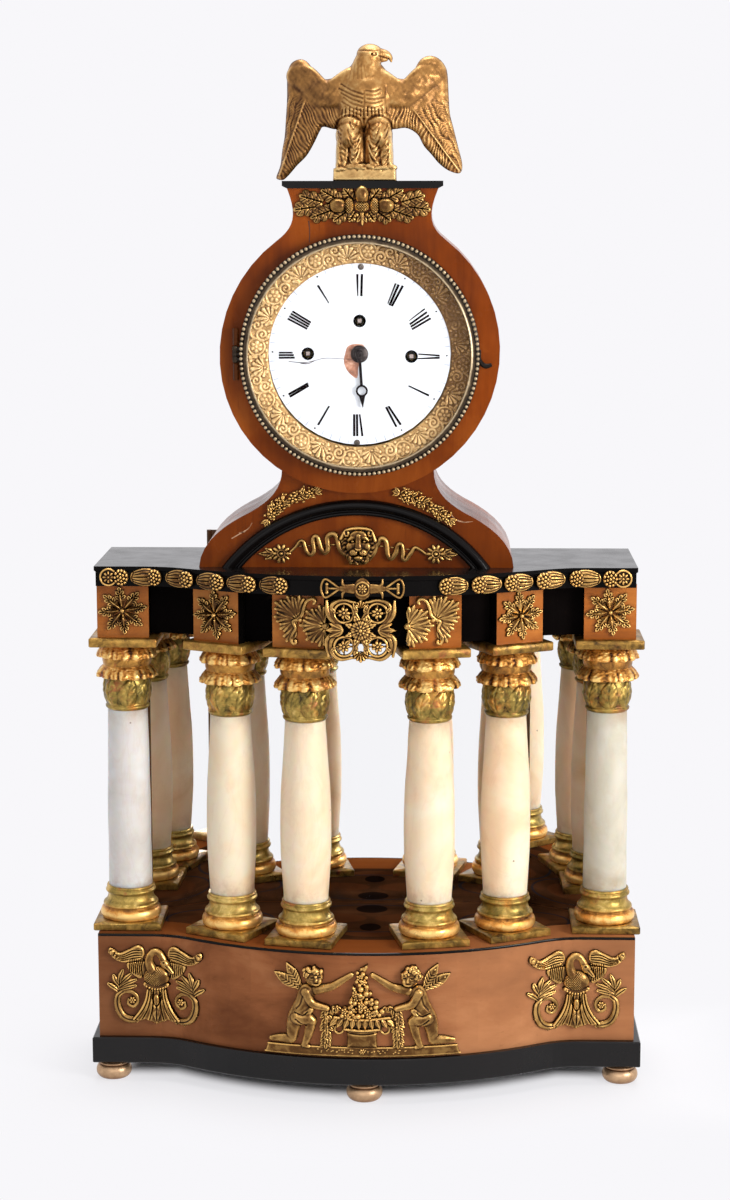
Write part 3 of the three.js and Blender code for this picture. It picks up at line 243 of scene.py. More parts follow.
def ebonised(name, gloss):
    g = Graph(name)
    wear = g.step(g.noise(45, 6, 0.7, 1.0), 0.64, 0.78)
    colour = g.coat(g.wander(rgb(6, 5, 5), rgb(17, 13, 12), 20, 5), rgb(66, 52, 44), wear, 0.4)
    g.bump(g.noise(300, 3, 0.6, 0, g.stretched((0.15, 1, 1))), 0.00004, 0.5)
    return g.look(Base_Color=colour, Roughness=g.wander(0.14, 0.3, 70, 5), Specular_IOR_Level=gloss)


def cornice_black():
    """Ebonised like the rest, with a better polish on the upper face."""
    g = Graph("cornice_black")
    wear = g.step(g.noise(45, 6, 0.7, 1.0), 0.66, 0.8)
    colour = g.coat(g.wander(rgb(4, 3, 3), rgb(13, 10, 9), 20, 5), rgb(60, 46, 40), wear, 0.3)
    g.bump(g.noise(300, 3, 0.6, 0, g.stretched((0.15, 1, 1))), 0.00003, 0.5)
    polish = g.plus(g.times(g.step(g.facing()[2], 0.7, 0.9), 0.55), 0.06)
    return g.look(Base_Color=colour, Roughness=g.wander(0.16, 0.28, 70, 5), Specular_IOR_Level=polish)


def alabaster(name, light, mid, dark):
    """Waxy stone with faint veins, pits, painted shade that makes the rear darker and warmer, and dirt at the
    foot and the neck of a shaft.
    """
    g = Graph(name)
    cloud = g.noise(22, 4, 0.55, 0.8)
    vein = g.noise(34, 6, 0.6, 2.2, g.stretched((1, 1, 0.35)))
    line = g.step(g.math("ABSOLUTE", g.minus(vein, 0.5)), 0.035, 0.0)
    colour = g.ramp(cloud, (0.3, dark), (0.48, mid), (0.66, light))
    colour = g.coat(colour, rgb(190, 140, 92), line, 0.07)
    z = g.split()[2]
    ends = g.larger(g.step(z, *FOOT_DIRT), g.step(z, *NECK_DIRT))
    stain = g.times(ends, g.step(g.noise(60, 5, 0.65), 0.38, 0.7))
    colour = g.coat(colour, rgb(170, 120, 72), stain, 0.55)
    # Painted shade: faces turned to the back are darker and warmer.
    rear = g.times(g.step(g.facing()[1], 0.1, 0.7), g.ramp(cloud, (0.3, 0.45), (0.7, 0.2)))
    colour = g.blend(rear, colour, rgb(216, 180, 124))
    pit = g.times(g.step(g.cells(95), 0.075, 0.03), g.step(g.noise(30, 2), 0.56, 0.62))
    colour = g.coat(colour, rgb(120, 84, 52), pit, 0.75)
    g.bump(g.minus(g.noise(180), g.times(pit, 2.0)), 0.00012, 0.6)
    g.look(Base_Color=colour, Roughness=g.wander(0.3, 0.46, 40), Specular_IOR_Level=0.45)
    return g.look(Subsurface_Weight=0.6, Subsurface_Scale=0.01, Subsurface_Radius=(1.0, 0.6, 0.35))


def gilt():
    """Leaf over red bole: bright on the crests, rubbed to bole, green and brown in the hollows."""
    g = Graph("gilt")
    mottle = g.noise(170, 6, 0.7, 0.8)
    blotch = g.noise(62, 5, 0.65, 1.2)
    level = g.plus(g.attribute("wear"), g.times(g.minus(mottle, 0.5), 1.25))
    level = g.plus(level, g.times(g.minus(blotch, 0.5), 0.9))
    gold = g.ramp(level, (0.1, rgb(74, 40, 16)), (0.36, rgb(176, 112, 46)), (0.6, rgb(226, 152, 66)),
                  (0.86, rgb(252, 206, 124)))
    aged = g.ramp(level, (0.1, rgb(44, 34, 14)), (0.4, rgb(128, 108, 48)), (0.64, rgb(176, 146, 72)),
                  (0.9, rgb(226, 194, 116)))
    green = g.times(g.attribute("patina"), g.step(g.noise(80, 5, 0.65), 0.22, 0.48))
    colour = g.blend(green, gold, aged)
    bole = g.times(g.step(g.noise(120, 6, 0.75, 0.6), 0.52, 0.66), g.step(g.noise(34, 3), 0.42, 0.6))
    colour = g.coat(colour, rgb(168, 76, 38), bole, 0.7)
    colour = g.coat(colour, rgb(58, 36, 18), g.step(g.noise(210, 6, 0.75), 0.6, 0.74), 0.5)
    g.bump(g.plus(mottle, g.times(blotch, 1.5)), 0.00025, 0.5)
    shine = g.minus(0.7, g.times(bole, 0.4))
    return g.look(Base_Color=colour, Metallic=shine, Roughness=g.wander(0.25, 0.5, 120, 5))


def brass(name, hollow, mid, crest, rough_low, rough_high, shine=0.7):
    """Stamped brass: dirt in the hollows, rubbed bright on the crests."""
    g = Graph(name)
    mottle = g.noise(160, 5, 0.6, 0.5)
    # On some mounts this level also carries painted light and painted shade.
    level = g.plus(g.attribute("wear"), g.times(g.minus(mottle, 0.5), 0.5))
    colour = g.ramp(level, (0.24, hollow), (0.5, mid), (0.8, crest))
    colour = g.coat(colour, hollow, g.step(g.noise(90, 6, 0.7), 0.62, 0.75), 0.45)
    g.bump(mottle, 0.00008, 0.4)
    rough = g.wander(rough_low, rough_high, 130)
    return g.look(Base_Color=colour, Metallic=shine, Roughness=rough, Specular_IOR_Level=0.3)


def metal(name, dark, light, rough):
    """Plain worked metal with fine brushing."""
    g = Graph(name)
    brush = g.noise(260, 4, 0.6, 0, g.stretched((1, 1, 0.2)))
    g.bump(brush, 0.00004, 0.4)
    colour = g.ramp(brush, (0.3, dark), (0.7, light))
    return g.look(Base_Color=colour, Metallic=1.0, Roughness=g.wander(rough, rough + 0.15, 90))


def mirror_glass():
    """Silvered glass with losses along its foot and a few dim spots."""
    g = Graph("mirror_glass")
    spot = g.times(g.step(g.noise(24, 5, 0.7), 0.66, 0.8), g.times(g.step(g.cells(70), 0.5, 0.02), 0.1))
    foot = g.times(g.step(g.split()[2], *MIRROR_FOOT), g.times(g.step(g.noise(80, 5, 0.7), 0.45, 0.7), 0.4))
    loss = g.larger(foot, spot)
    colour = g.blend(loss, rgb(251, 252, 252), rgb(96, 88, 78))
    return g.look(Base_Color=colour, Metallic=1.0, Roughness=g.plus(0.015, g.times(loss, 0.4)))


def pane_glass():
    """A thin pane: lamps pass through it."""
    g = Graph("pane_glass")
    smear = g.ramp(g.noise(30, 4, 0.6), (0.4, 0.0), (0.8, 0.03))
    g.look(Base_Color=rgb(252, 253, 253), Roughness=smear, Transmission_Weight=1.0, IOR=1.1)
    clear = g.add("ShaderNodeBsdfTransparent").outputs[0]
    g.cover(g.add("ShaderNodeLightPath").outputs["Is Shadow Ray"], clear)
    return g.material


def enamel():
    g = Graph("enamel")
    g.bump(g.noise(60, 3), 0.00008, 0.3)
    colour = g.wander(rgb(220, 223, 229), rgb(232, 233, 238), 26)
    return g.look(Base_Color=colour, Roughness=g.wander(0.12, 0.2, 40))


def flecked(name, dark, light, scale, detail, rough, gloss=0.5):
    """Ink, a crack or a scratch: a tone that drifts between two."""
    g = Graph(name)
    colour = g.wander(rgb(*dark), rgb(*light), scale, detail)
    return g.look(Base_Color=colour, Roughness=rough, Specular_IOR_Level=gloss)


HEAD_VENEER = head_veneer()
BLOCK_VENEER = block_veneer()
BOX_VENEER = base_veneer()
EBONISED = ebonised("ebonised", 0.12)
MOULDING = ebonised("moulding_black", 0.3)
# Painted shade: ebonised black without gloss, for the frieze board in its deep recess and the liners in the
# winding holes.
SHADOW_BLACK = ebonised("shadow_black", 0.0)
STONE = alabaster("alabaster_cream", rgb(254, 234, 207), rgb(252, 224, 190), rgb(236, 202, 160))
STONE_WHITE = alabaster("alabaster_white", rgb(236, 233, 231), rgb(225, 220, 214), rgb(206, 198, 190))
STONE_GREY = alabaster("alabaster_grey", rgb(216, 211, 197), rgb(202, 196, 178), rgb(178, 172, 150))
GILT = gilt()
MOUNT = brass("mount_brass", rgb(24, 13, 6), rgb(100, 66, 30), rgb(226, 178, 102), 0.18, 0.34, 0.72)
PRESSED = brass("pressed_brass", rgb(104, 72, 38), rgb(184, 144, 92), rgb(240, 206, 150), 0.36, 0.55, 0.45)
EAGLE_GILT = brass("eagle_gilt", rgb(74, 42, 16), rgb(172, 122, 64), rgb(246, 204, 134), 0.28, 0.46, 0.5)
BEADED = brass("beaded_brass", rgb(26, 18, 12), rgb(74, 58, 40), rgb(186, 164, 130), 0.2, 0.34, 0.5)
BRONZE = brass("bronze", rgb(78, 56, 38), rgb(146, 110, 80), rgb(206, 170, 132), 0.3, 0.45)
MOVEMENT = metal("movement_brass", rgb(170, 128, 56), rgb(206, 166, 88), 0.28)
STEEL = metal("dark_steel", rgb(24, 20, 22), rgb(48, 40, 40), 0.32)
COLLET = metal("collet_steel", rgb(34, 29, 30), rgb(84, 76, 74), 0.34)
SCREW = metal("worn_steel", rgb(58, 50, 46), rgb(126, 116, 108), 0.3)
SQUARE = brass("winding_steel", rgb(7, 6, 6), rgb(40, 34, 32), rgb(172, 154, 146), 0.3, 0.4, 0.4)
CARCASE = veneer("carcase_wood", rgb(92, 62, 38), rgb(136, 96, 62), rgb(164, 124, 84),
                 (1, 1, 0.1))[0].material
MIRROR = mirror_glass()
PANE = pane_glass()


# Meshes


def points_of(node):
    return np.array([v.co for v in NODES[node].data.vertices]) / MM


def build(name, solid, material, slot, body="case", stands_for=(), sharp=None, **attributes):
    """A piece from points in millimetres and sets of faces, each set with one number of corners."""
    points, *faces = solid
    mesh = bpy.data.meshes.new(name)
    mesh.vertices.add(len(points))
    mesh.vertices.foreach_set("co", (np.asarray(points, float) * MM).ravel())
    groups = [np.asarray(f, int) for f in faces if len(f)]
    corners = np.concatenate([f.ravel() for f in groups])
    counts = np.concatenate([np.full(len(f), f.shape[1]) for f in groups])
    mesh.loops.add(len(corners))
    mesh.loops.foreach_set("vertex_index", corners)
    mesh.polygons.add(len(counts))
    mesh.polygons.foreach_set("loop_start", np.concatenate([[0], np.cumsum(counts)[:-1]]))
    mesh.polygons.foreach_set("use_smooth", np.ones(len(counts), bool))
    mesh.update(calc_edges=True)
    mesh.validate()
    for key, values in attributes.items():
        layer = mesh.attributes.new(key, "FLOAT", "POINT")
        layer.data.foreach_set("value", np.asarray(values, float))
    if sharp:
        mesh.set_sharp_from_angle(angle=math.radians(sharp))
    mesh.materials.append(material)
    piece = bpy.data.objects.new(name, mesh)
    bpy.context.scene.collection.objects.link(piece)
    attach(piece, body)
    if stands_for:
        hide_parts(*stands_for)


def soften(field, passes):
    for _ in range(passes):
        p = np.pad(field, 1, mode="edge")
        around = p[:-2, 1:-1] + p[2:, 1:-1] + p[1:-1, :-2] + p[1:-1, 2:]
        field = (p[1:-1, 1:-1] * 2 + around) / 6
    return field


def curve(points, steps=8):
    """A smooth line through points."""
    p = np.asarray(points, float)
    if len(p) < 3:
        t = np.linspace(0, 1, steps + 1)[:, None]
        return p[0] + (p[-1] - p[0]) * t
    ends = np.vstack([2 * p[0] - p[1], p, 2 * p[-1] - p[-2]])
    t = np.arange(steps)[:, None] / steps
    line = []
    for a, b, c, d in zip(ends, ends[1:], ends[2:], ends[3:]):
        bend = (2 * a - 5 * b + 4 * c - d) * t**2 + (3 * b - a - 3 * c + d) * t**3
        line.append(0.5 * (2 * b + (c - a) * t + bend))
    return np.vstack([*line, p[-1:]])


def loop(points):
    """A smooth closed outline through points."""
    p = np.asarray(points, float)
    line = curve(np.vstack([p[-2:], p, p[:3]]), LOOP_STEPS)
    return line[2 * LOOP_STEPS:-2 * LOOP_STEPS - 1]


def fade(value, low, high):
    t = np.clip((value - low) / (high - low), 0, 1)
    return t * t * (3 - 2 * t)


def hill(value, middle, width):
    return np.exp(-((value - middle) / width) ** 2)


def polar(x, y, reach, degrees):
    """The point at a distance and an angle from another."""
    a = math.radians(degrees)
    return x + reach * math.cos(a), y + reach * math.sin(a)


def flip(s, points, middle=0.0):
    """Points for one side of a mount: as given at the right, mirrored at the left."""
    return [(middle + s * x, y) for x, y in points]


def flip_turn(s, turn):
    return turn if s > 0 else 180 - turn


def front_y(x, outset=0.0):
    """Plan y and outward normal of the serpentine front at x."""
    side = np.abs(x)
    turn = math.asin(SWELL_END / SWELL_RADIUS)
    radius = SWELL_RADIUS + outset
    swell_end = radius * math.sin(turn)
    swell = SWELL_CENTRE - np.sqrt(np.maximum(radius**2 - side**2, 0))
    hollow = HOLLOW_RADIUS - outset
    reach = np.clip(HOLLOW_X - side, 0, hollow)
    bend = -HOLLOW_RADIUS + np.sqrt(hollow**2 - reach**2)
    y = np.where(side < swell_end, swell, np.where(side < HOLLOW_X, bend, -outset))
    lean = np.where(side < swell_end, side / radius, np.where(side < HOLLOW_X, reach / hollow, 0))
    return y, np.sign(x) * lean


def serpentine(outset, x=0.0, z=0.0):
    """A mapping onto the serpentine front, about a middle at x and z."""
    def mapped(u, v, h):
        y, nx = front_y(u + x, outset)
        ny = -np.sqrt(1 - nx**2)
        return np.stack([u + x + h * nx, y + PLAN + h * ny, v + z], -1)
    return mapped


def flat(plan_y):
    return lambda u, v, h: np.stack([u, plan_y + PLAN - h, v], -1)


def station(k):
    """The turn of a frieze block's front face, and a mapping onto the middle of it."""
    node = f"frieze_block_{k}"
    face = max(NODES[node].data.polygons, key=lambda p: p.area * (p.normal.y < -0.7))
    out = np.array(face.normal)
    points = points_of(node)
    on = points[np.abs((points - np.array(face.center) / MM) @ out) < 0.01]
    centre = (on.min(0) + on.max(0)) / 2
    right = np.array([-out[1], out[0], 0])
    up = np.array([0, 0, 1])

    def mapped(u, v, h):
        return centre + u[..., None] * right + v[..., None] * up + h[..., None] * out
    return math.atan2(out[0], -out[1]), mapped


def spaced(values, count):
    """Values set evenly along a line, as one for each of its points."""
    values = np.atleast_1d(values)
    return np.interp(np.linspace(0, 1, count), np.linspace(0, 1, len(values)), values)


def to_segment(u, v, a, b):
    """Distance from a straight piece of line, and the share along it of the nearest place."""
    d = b - a
    t = np.clip(((u - a[0]) * d[0] + (v - a[1]) * d[1]) / max(d @ d, TINY), 0, 1)
    return np.hypot(u - a[0] - t * d[0], v - a[1] - t * d[1]), t


TINY = 1e-9
OUTSIDE = -9.0
QUARTERS = (np.s_[:-1, :-1], np.s_[:-1, 1:], np.s_[1:, 1:], np.s_[1:, :-1])


class Relief:
    """Raised ornament on a grid: a signed outline and a height, in millimetres."""

    def __init__(self, left, right, low, high, step):
        self.step = step
        self.low = np.array([left, low])
        self.u, self.v = np.meshgrid(np.arange(left, right + step, step), np.arange(low, high + step, step))
        self.edge = np.full(self.u.shape, OUTSIDE)
        self.height = np.zeros(self.u.shape)

    def near(self, points, reach):
        """The window of the grid round some points."""
        p = np.atleast_2d(points)
        i0, j0 = np.maximum(((p.min(0) - reach - self.low) / self.step).astype(int), 0)
        i1, j1 = np.maximum(((p.max(0) + reach - self.low) / self.step).astype(int) + 2, 1)
        return np.s_[j0:j1, i0:i1]

    def join(self, window, edge, height):
        old = self.height[window]
        self.height[window] = np.where(edge > 0, np.maximum(old, height), old)
        self.edge[window] = np.maximum(self.edge[window], edge)

    def local(self, window, x, y, turn):
        c, s = math.cos(math.radians(turn)), math.sin(math.radians(turn))
        du, dv = self.u[window] - x, self.v[window] - y
        return du * c + dv * s, dv * c - du * s

    def dome(self, x, y, a, b, rise, turn=0, lift=0.0):
        w = self.near((x, y), max(a, b) + 1)
        p, q = self.local(w, x, y, turn)
        d = np.hypot(p / a, q / b)
        self.join(w, (1 - d) * min(a, b), lift + rise * np.sqrt(np.clip(1 - d * d, 0, 1)))

    def away(self, window, points, radii):
        """Depth inside a line of changing thickness, with the thickness at the nearest place."""
        u, v = self.u[window], self.v[window]
        best = np.full(u.shape, -99.0)
        thick = np.ones(u.shape)
        for a, b, ra, rb in zip(points, points[1:], radii, radii[1:]):
            distance, t = to_segment(u, v, a, b)
            r = ra + (rb - ra) * t
            closer = r - distance > best
            best = np.where(closer, r - distance, best)
            thick = np.where(closer, r, thick)
        return best, thick

    def stroke(self, points, radii, rise=1.0, lift=0.0):
        line = curve(points)
        widths = spaced(radii, len(line))
        w = self.near(line, widths.max() + 1)
        edge, thick = self.away(w, line, widths)
        d = np.clip(1 - edge / thick, 0, 1)
        self.join(w, edge, lift + rise * thick * np.sqrt(1 - d * d))

    def groove(self, points, width, depth):
        line = curve(points)
        w = self.near(line, 3 * width)
        edge, _ = self.away(w, line, np.zeros(len(line)))
        self.height[w] -= depth * hill(edge, 0, width)

    def leaf(self, x, y, turn, length, width, rise, lobes, lift, vein=0.4, cut=0.28, belly=0.75):
        w = self.near((x, y), length + 1)
        p, q = self.local(w, x, y, turn)
        t = np.clip(p / length, 0.001, 0.999)
        half = width / 2 * np.sin(math.pi * t**belly)
        if lobes:
            half = half * (1 - cut + cut * np.abs(np.cos(math.pi * lobes * t)))
        half = np.maximum(half, 0.05)
        edge = np.minimum(half - np.abs(q), np.minimum(p, length - p) + 0.1)
        d = np.clip(np.abs(q) / half, 0, 1)
        body = rise * (0.45 + 0.55 * np.sqrt(1 - d * d) - vein * hill(q, 0, 0.1 * width))
        if lobes:
            body -= 0.9 * cut * rise * np.abs(np.sin(math.pi * (lobes * t - 0.25 * d))) ** 6
        self.join(w, edge, lift + np.maximum(body, 0.05))

    def kite(self, x, y, turn, length, width, rise, lift):
        """A pointed leaf with two flat faces that meet in a ridge."""
        w = self.near((x, y), length + 1)
        p, q = self.local(w, x, y, turn)
        t = np.clip(p / length, 0.001, 0.999)
        half = np.maximum(width * np.minimum(t, 1 - t), 0.05)
        edge = np.minimum(half - np.abs(q), np.minimum(p, length - p) + 0.1)
        ridge = np.clip(1 - np.abs(q) / half, 0.05, 1) * (0.5 + 0.5 * np.sin(math.pi * t))
        self.join(w, edge, lift + rise * ridge)

    def ring(self, x, y, radius, thick, rise, lift):
        w = self.near((x, y), radius + thick + 1)
        d = np.abs(np.hypot(self.u[w] - x, self.v[w] - y) - radius) / thick
        self.join(w, (1 - d) * thick, lift + rise * thick * np.sqrt(np.clip(1 - d * d, 0, 1)))

    def scroll(self, x, y, start, turns, radius, thick, end, lift):
        """A spiral that winds inward from a starting angle; negative turns wind clockwise."""
        line = []
        for t in np.linspace(0, 1, 26):
            line.append(polar(x, y, radius * (1 - (1 - end) * t), start + 360 * turns * t))
        self.stroke(line, [thick, thick * 0.8, thick * 0.6], 1.0, lift)

    def polygon(self, points, rise, soft, lift=0.0):
        """A filled outline, rounded over along its border."""
        ring = np.asarray(points, float)
        u, v = self.u, self.v
        inside = np.zeros(u.shape, bool)
        away = np.full(u.shape, 99.0)
        for a, b in zip(ring, np.roll(ring, -1, 0)):
            away = np.minimum(away, to_segment(u, v, a, b)[0])
            tall = b[1] - a[1] or TINY
            inside ^= ((a[1] > v) != (b[1] > v)) & (u < a[0] + (v - a[1]) * (b[0] - a[0]) / tall)
        edge = np.where(inside, away, -away)
        d = np.clip(1 - edge / soft, 0, 1)
        self.join(np.s_[:, :], edge, lift + rise * np.sqrt(1 - d * d))
        return edge

    def piece(self, name, mapped, material, rim=0.4, sink=0.3, back=None, contrast=1.2, tint=0.0, **settings):
        """Front skin, rim and back as one closed piece, its outer row of points moved onto the outline."""
        inside = self.edge > 0
        rows, columns = inside.shape
        near = np.pad(inside, 1)
        h = np.maximum(self.height, 0)
        total = np.zeros(inside.shape)
        moved = np.zeros((3,) + inside.shape)
        edge = np.pad(self.edge, 1, constant_values=OUTSIDE)
        high = np.pad(h, 1)
        for dj in (-1, 0, 1):
            for di in (-1, 0, 1):
                cut = np.s_[1 + dj:1 + dj + rows, 1 + di:1 + di + columns]
                other = near[cut] & ~inside
                t = np.where(other, self.edge / np.minimum(self.edge - edge[cut], -TINY), 0) * self.step
                moved += np.where(other, np.stack([t * di, t * dj, high[cut]]), 0)
                total += other
        border = total > 0
        moved /= np.maximum(total, 1)
        u, v = self.u + moved[0], self.v + moved[1]
        h = np.where(border, 0.6 * moved[2], h)
        quads = np.any([inside[cut] for cut in QUARTERS], 0)
        used = np.zeros(inside.shape, bool)
        for cut in QUARTERS:
            used[cut] |= quads
        index = np.cumsum(used.ravel()).reshape(used.shape) - 1
        n = int(used.sum())
        q = np.stack([index[cut] for cut in QUARTERS], -1)[quads]
        edges = np.concatenate([q[:, [k, (k + 1) % 4]] for k in range(4)])
        key = np.sort(edges, 1) @ np.array([n, 1])
        _, first, times = np.unique(key, return_index=True, return_counts=True)
        a, b = edges[first[times == 1]].T
        wall = np.stack([b, a, a + n, b + n], -1)
        under = -sink if back is None else -np.where(border, 0.0, back)
        front = mapped(u, v, rim + h)[used]
        rear = mapped(u, v, np.broadcast_to(under, u.shape))[used]
        relief = np.where(inside, self.height, 0)
        # Darker in hollows and brighter on crests, shifted by the tint, which on some mounts carries painted
        # light and painted shade.
        wear = np.clip(0.5 + tint + (relief - soften(relief, 10)) / contrast, 0, 1)[used]
        wear = np.concatenate([wear, np.full(n, 0.2 if back is None else 0.5)])
        solid = np.concatenate([front, rear]), q, wall, q[:, ::-1] + n
        build(name, solid, material, sharp=60, wear=wear, **settings)


# Columns: turned and gilt bases, alabaster shafts, leafy capitals


def angles(sides):
    return np.arange(sides) * 2 * math.pi / sides


def square(half, z, turn, centre):
    """Points of a rounded square's outline at one height."""
    points = []
    for k, (x, y) in enumerate(np.array([[1, -1], [1, 1], [-1, 1], [-1, -1]]) * (half - CORNER)):
        points += [polar(x, y, CORNER, 90 * k + t) for t in (-90, -45, 0)]
    x, y = np.array(points).T
    c, s = math.cos(turn), math.sin(turn)
    return np.stack([centre[0] + x * c - y * s, centre[1] + x * s + y * c, np.full(len(points), z)], -1)


def loft(rings):
    """Points and faces of a solid through rings of equal size, closed at both ends."""
    rings = np.asarray(rings)
    rows, columns = rings.shape[:2]
    index = np.arange(rows * columns).reshape(rows, columns)
    over = np.roll(index, -1, 1)
    quads = np.stack([index[:-1], over[:-1], over[1:], index[1:]], -1).reshape(-1, 4)
    middle = np.stack([rings[0].mean(0), rings[-1].mean(0)])
    low = np.stack([over[0], index[0], np.full(columns, rows * columns)], -1)
    high = np.stack([index[-1], over[-1], np.full(columns, rows * columns + 1)], -1)
    return np.concatenate([rings.reshape(-1, 3), middle]), quads, np.concatenate([low, high])


def turned(centre, z, radius, sides):
    """Rings of a lathed form; z and radius may change round the axis."""
    a = angles(sides)
    z = np.broadcast_to(np.asarray(z, float).reshape(len(z), -1), (len(z), sides))
    r = np.broadcast_to(np.asarray(radius, float).reshape(len(radius), -1), (len(radius), sides))
    return np.stack([centre[0] + r * np.cos(a), centre[1] + r * np.sin(a), z], -1)


def filled(values, count):
    """Numbers for the first points, the last of them repeated up to a count."""
    values = np.ravel(values)
    return np.append(values, np.full(count - values.size, values[-1]))


def together(*solids):
    """Several point and face sets as one, with their attributes."""
    points, quads, tris, extra = [], [], [], []
    base = 0
    for (p, q, t), facts in solids:
        points.append(p)
        quads.append(q + base)
        tris.append(t + base)
        extra.append([filled(f, len(p)) for f in facts])
        base += len(p)
    return [np.concatenate(part) for part in (points, quads, tris)], [np.concatenate(f) for f in zip(*extra)]


def slab(half, low, high, turn, centre):
    inner = half - CHAMFER
    levels = ((inner, low), (half, low + CHAMFER), (half, high - CHAMFER), (inner, high))
    return loft([square(size, z, turn, centre) for size, z in levels])


CORNER, CHAMFER = 0.6, 0.5
PLINTH_HALF, PLINTH_TOP = 18.6, 86.7
ABACUS_HALF = 18.4
BASE_PROFILE = curve([(14.2, 86.6), (16.0, 87.2), (16.7, 89.4), (16.1, 91.8), (14.9, 92.9), (14.7, 93.4),
                      (15.2, 94.1), (14.9, 95.2), (13.9, 96.0), (12.9, 97.6), (12.5, 99.4), (12.7, 100.6),
                      (13.5, 101.2), (13.8, 102.1), (13.3, 103.0), (12.9, 103.5), (13.2, 104.2),
                      (12.8, 105.0)], 4)
TORUS_Z, HOLLOW_Z = 89.4, 93
LOW_RADIUS, TOP_RADIUS = 12.0, 10.8
CUP_FOOT, CUP_TALL, LEAF_FOOT = 204.2, 19.3, 0.13
LOW_COLLAR, TOP_COLLAR, NECK = (221.8, 229.6), (232.8, 240.6), (227.5, 235.5)
LEAVES = 7


def column(k):
    turn, _ = station(k)
    shaft = points_of(f"column_shaft_{k}")
    low, high = shaft.min(0), shaft.max(0)
    axis = (low + high)[:2] / 2
    belly = (high[0] - low[0]) / 2
    sides = 96
    shade = rng.uniform(-0.08, 0.08)

    r, z = BASE_PROFILE.T
    worn_and_shaded = 0.6 + 0.32 * hill(z, TORUS_Z, 2.2) - 0.25 * hill(z, HOLLOW_Z, 0.8) + shade
    aged = np.clip((z - 91.5) / 4, 0, 1)
    solid, (wear, patina) = together(
        (slab(PLINTH_HALF, BOX_TOP, PLINTH_TOP, turn, axis), (0.4 + shade, 0.8)),
        (loft(turned(axis, z, r, sides)), (np.repeat(worn_and_shaded, sides), np.repeat(aged, sides))))
    build(f"gilt_base_{k}", solid, GILT, slot="gilt", stands_for=[f"column_base_{k}"], sharp=40,
          wear=wear, patina=patina)

    z = np.linspace(SHAFT_FOOT, SHAFT_TOP, 60)
    t = (z - SHAFT_FOOT) / (SHAFT_TOP - SHAFT_FOOT)
    swell, taper = belly - LOW_RADIUS, belly - TOP_RADIUS
    radius = np.interp(t, [0, 0.12, 0.25, 0.38, 0.5, 0.62, 0.75, 0.88, 1],
                       [LOW_RADIUS, LOW_RADIUS + 0.45 * swell, belly - 0.15, belly, belly - 0.12, belly - 0.5,
                        TOP_RADIUS + 0.5 * taper, TOP_RADIUS + 0.22 * taper, TOP_RADIUS])
    wobble = 0.06 * np.sin(angles(sides) * 3 + k)[None, :] * np.sin(t * 9 + k)[:, None]
    radius = soften(radius[:, None], 4) + wobble
    stone = {1: STONE_WHITE, 6: STONE_GREY}.get(k, STONE)
    build(f"alabaster_shaft_{k}", loft(turned(axis, z, radius, sides)), stone, slot="alabaster",
          stands_for=[f"column_shaft_{k}"], sharp=50)

    capital(k, axis, turn, shade)


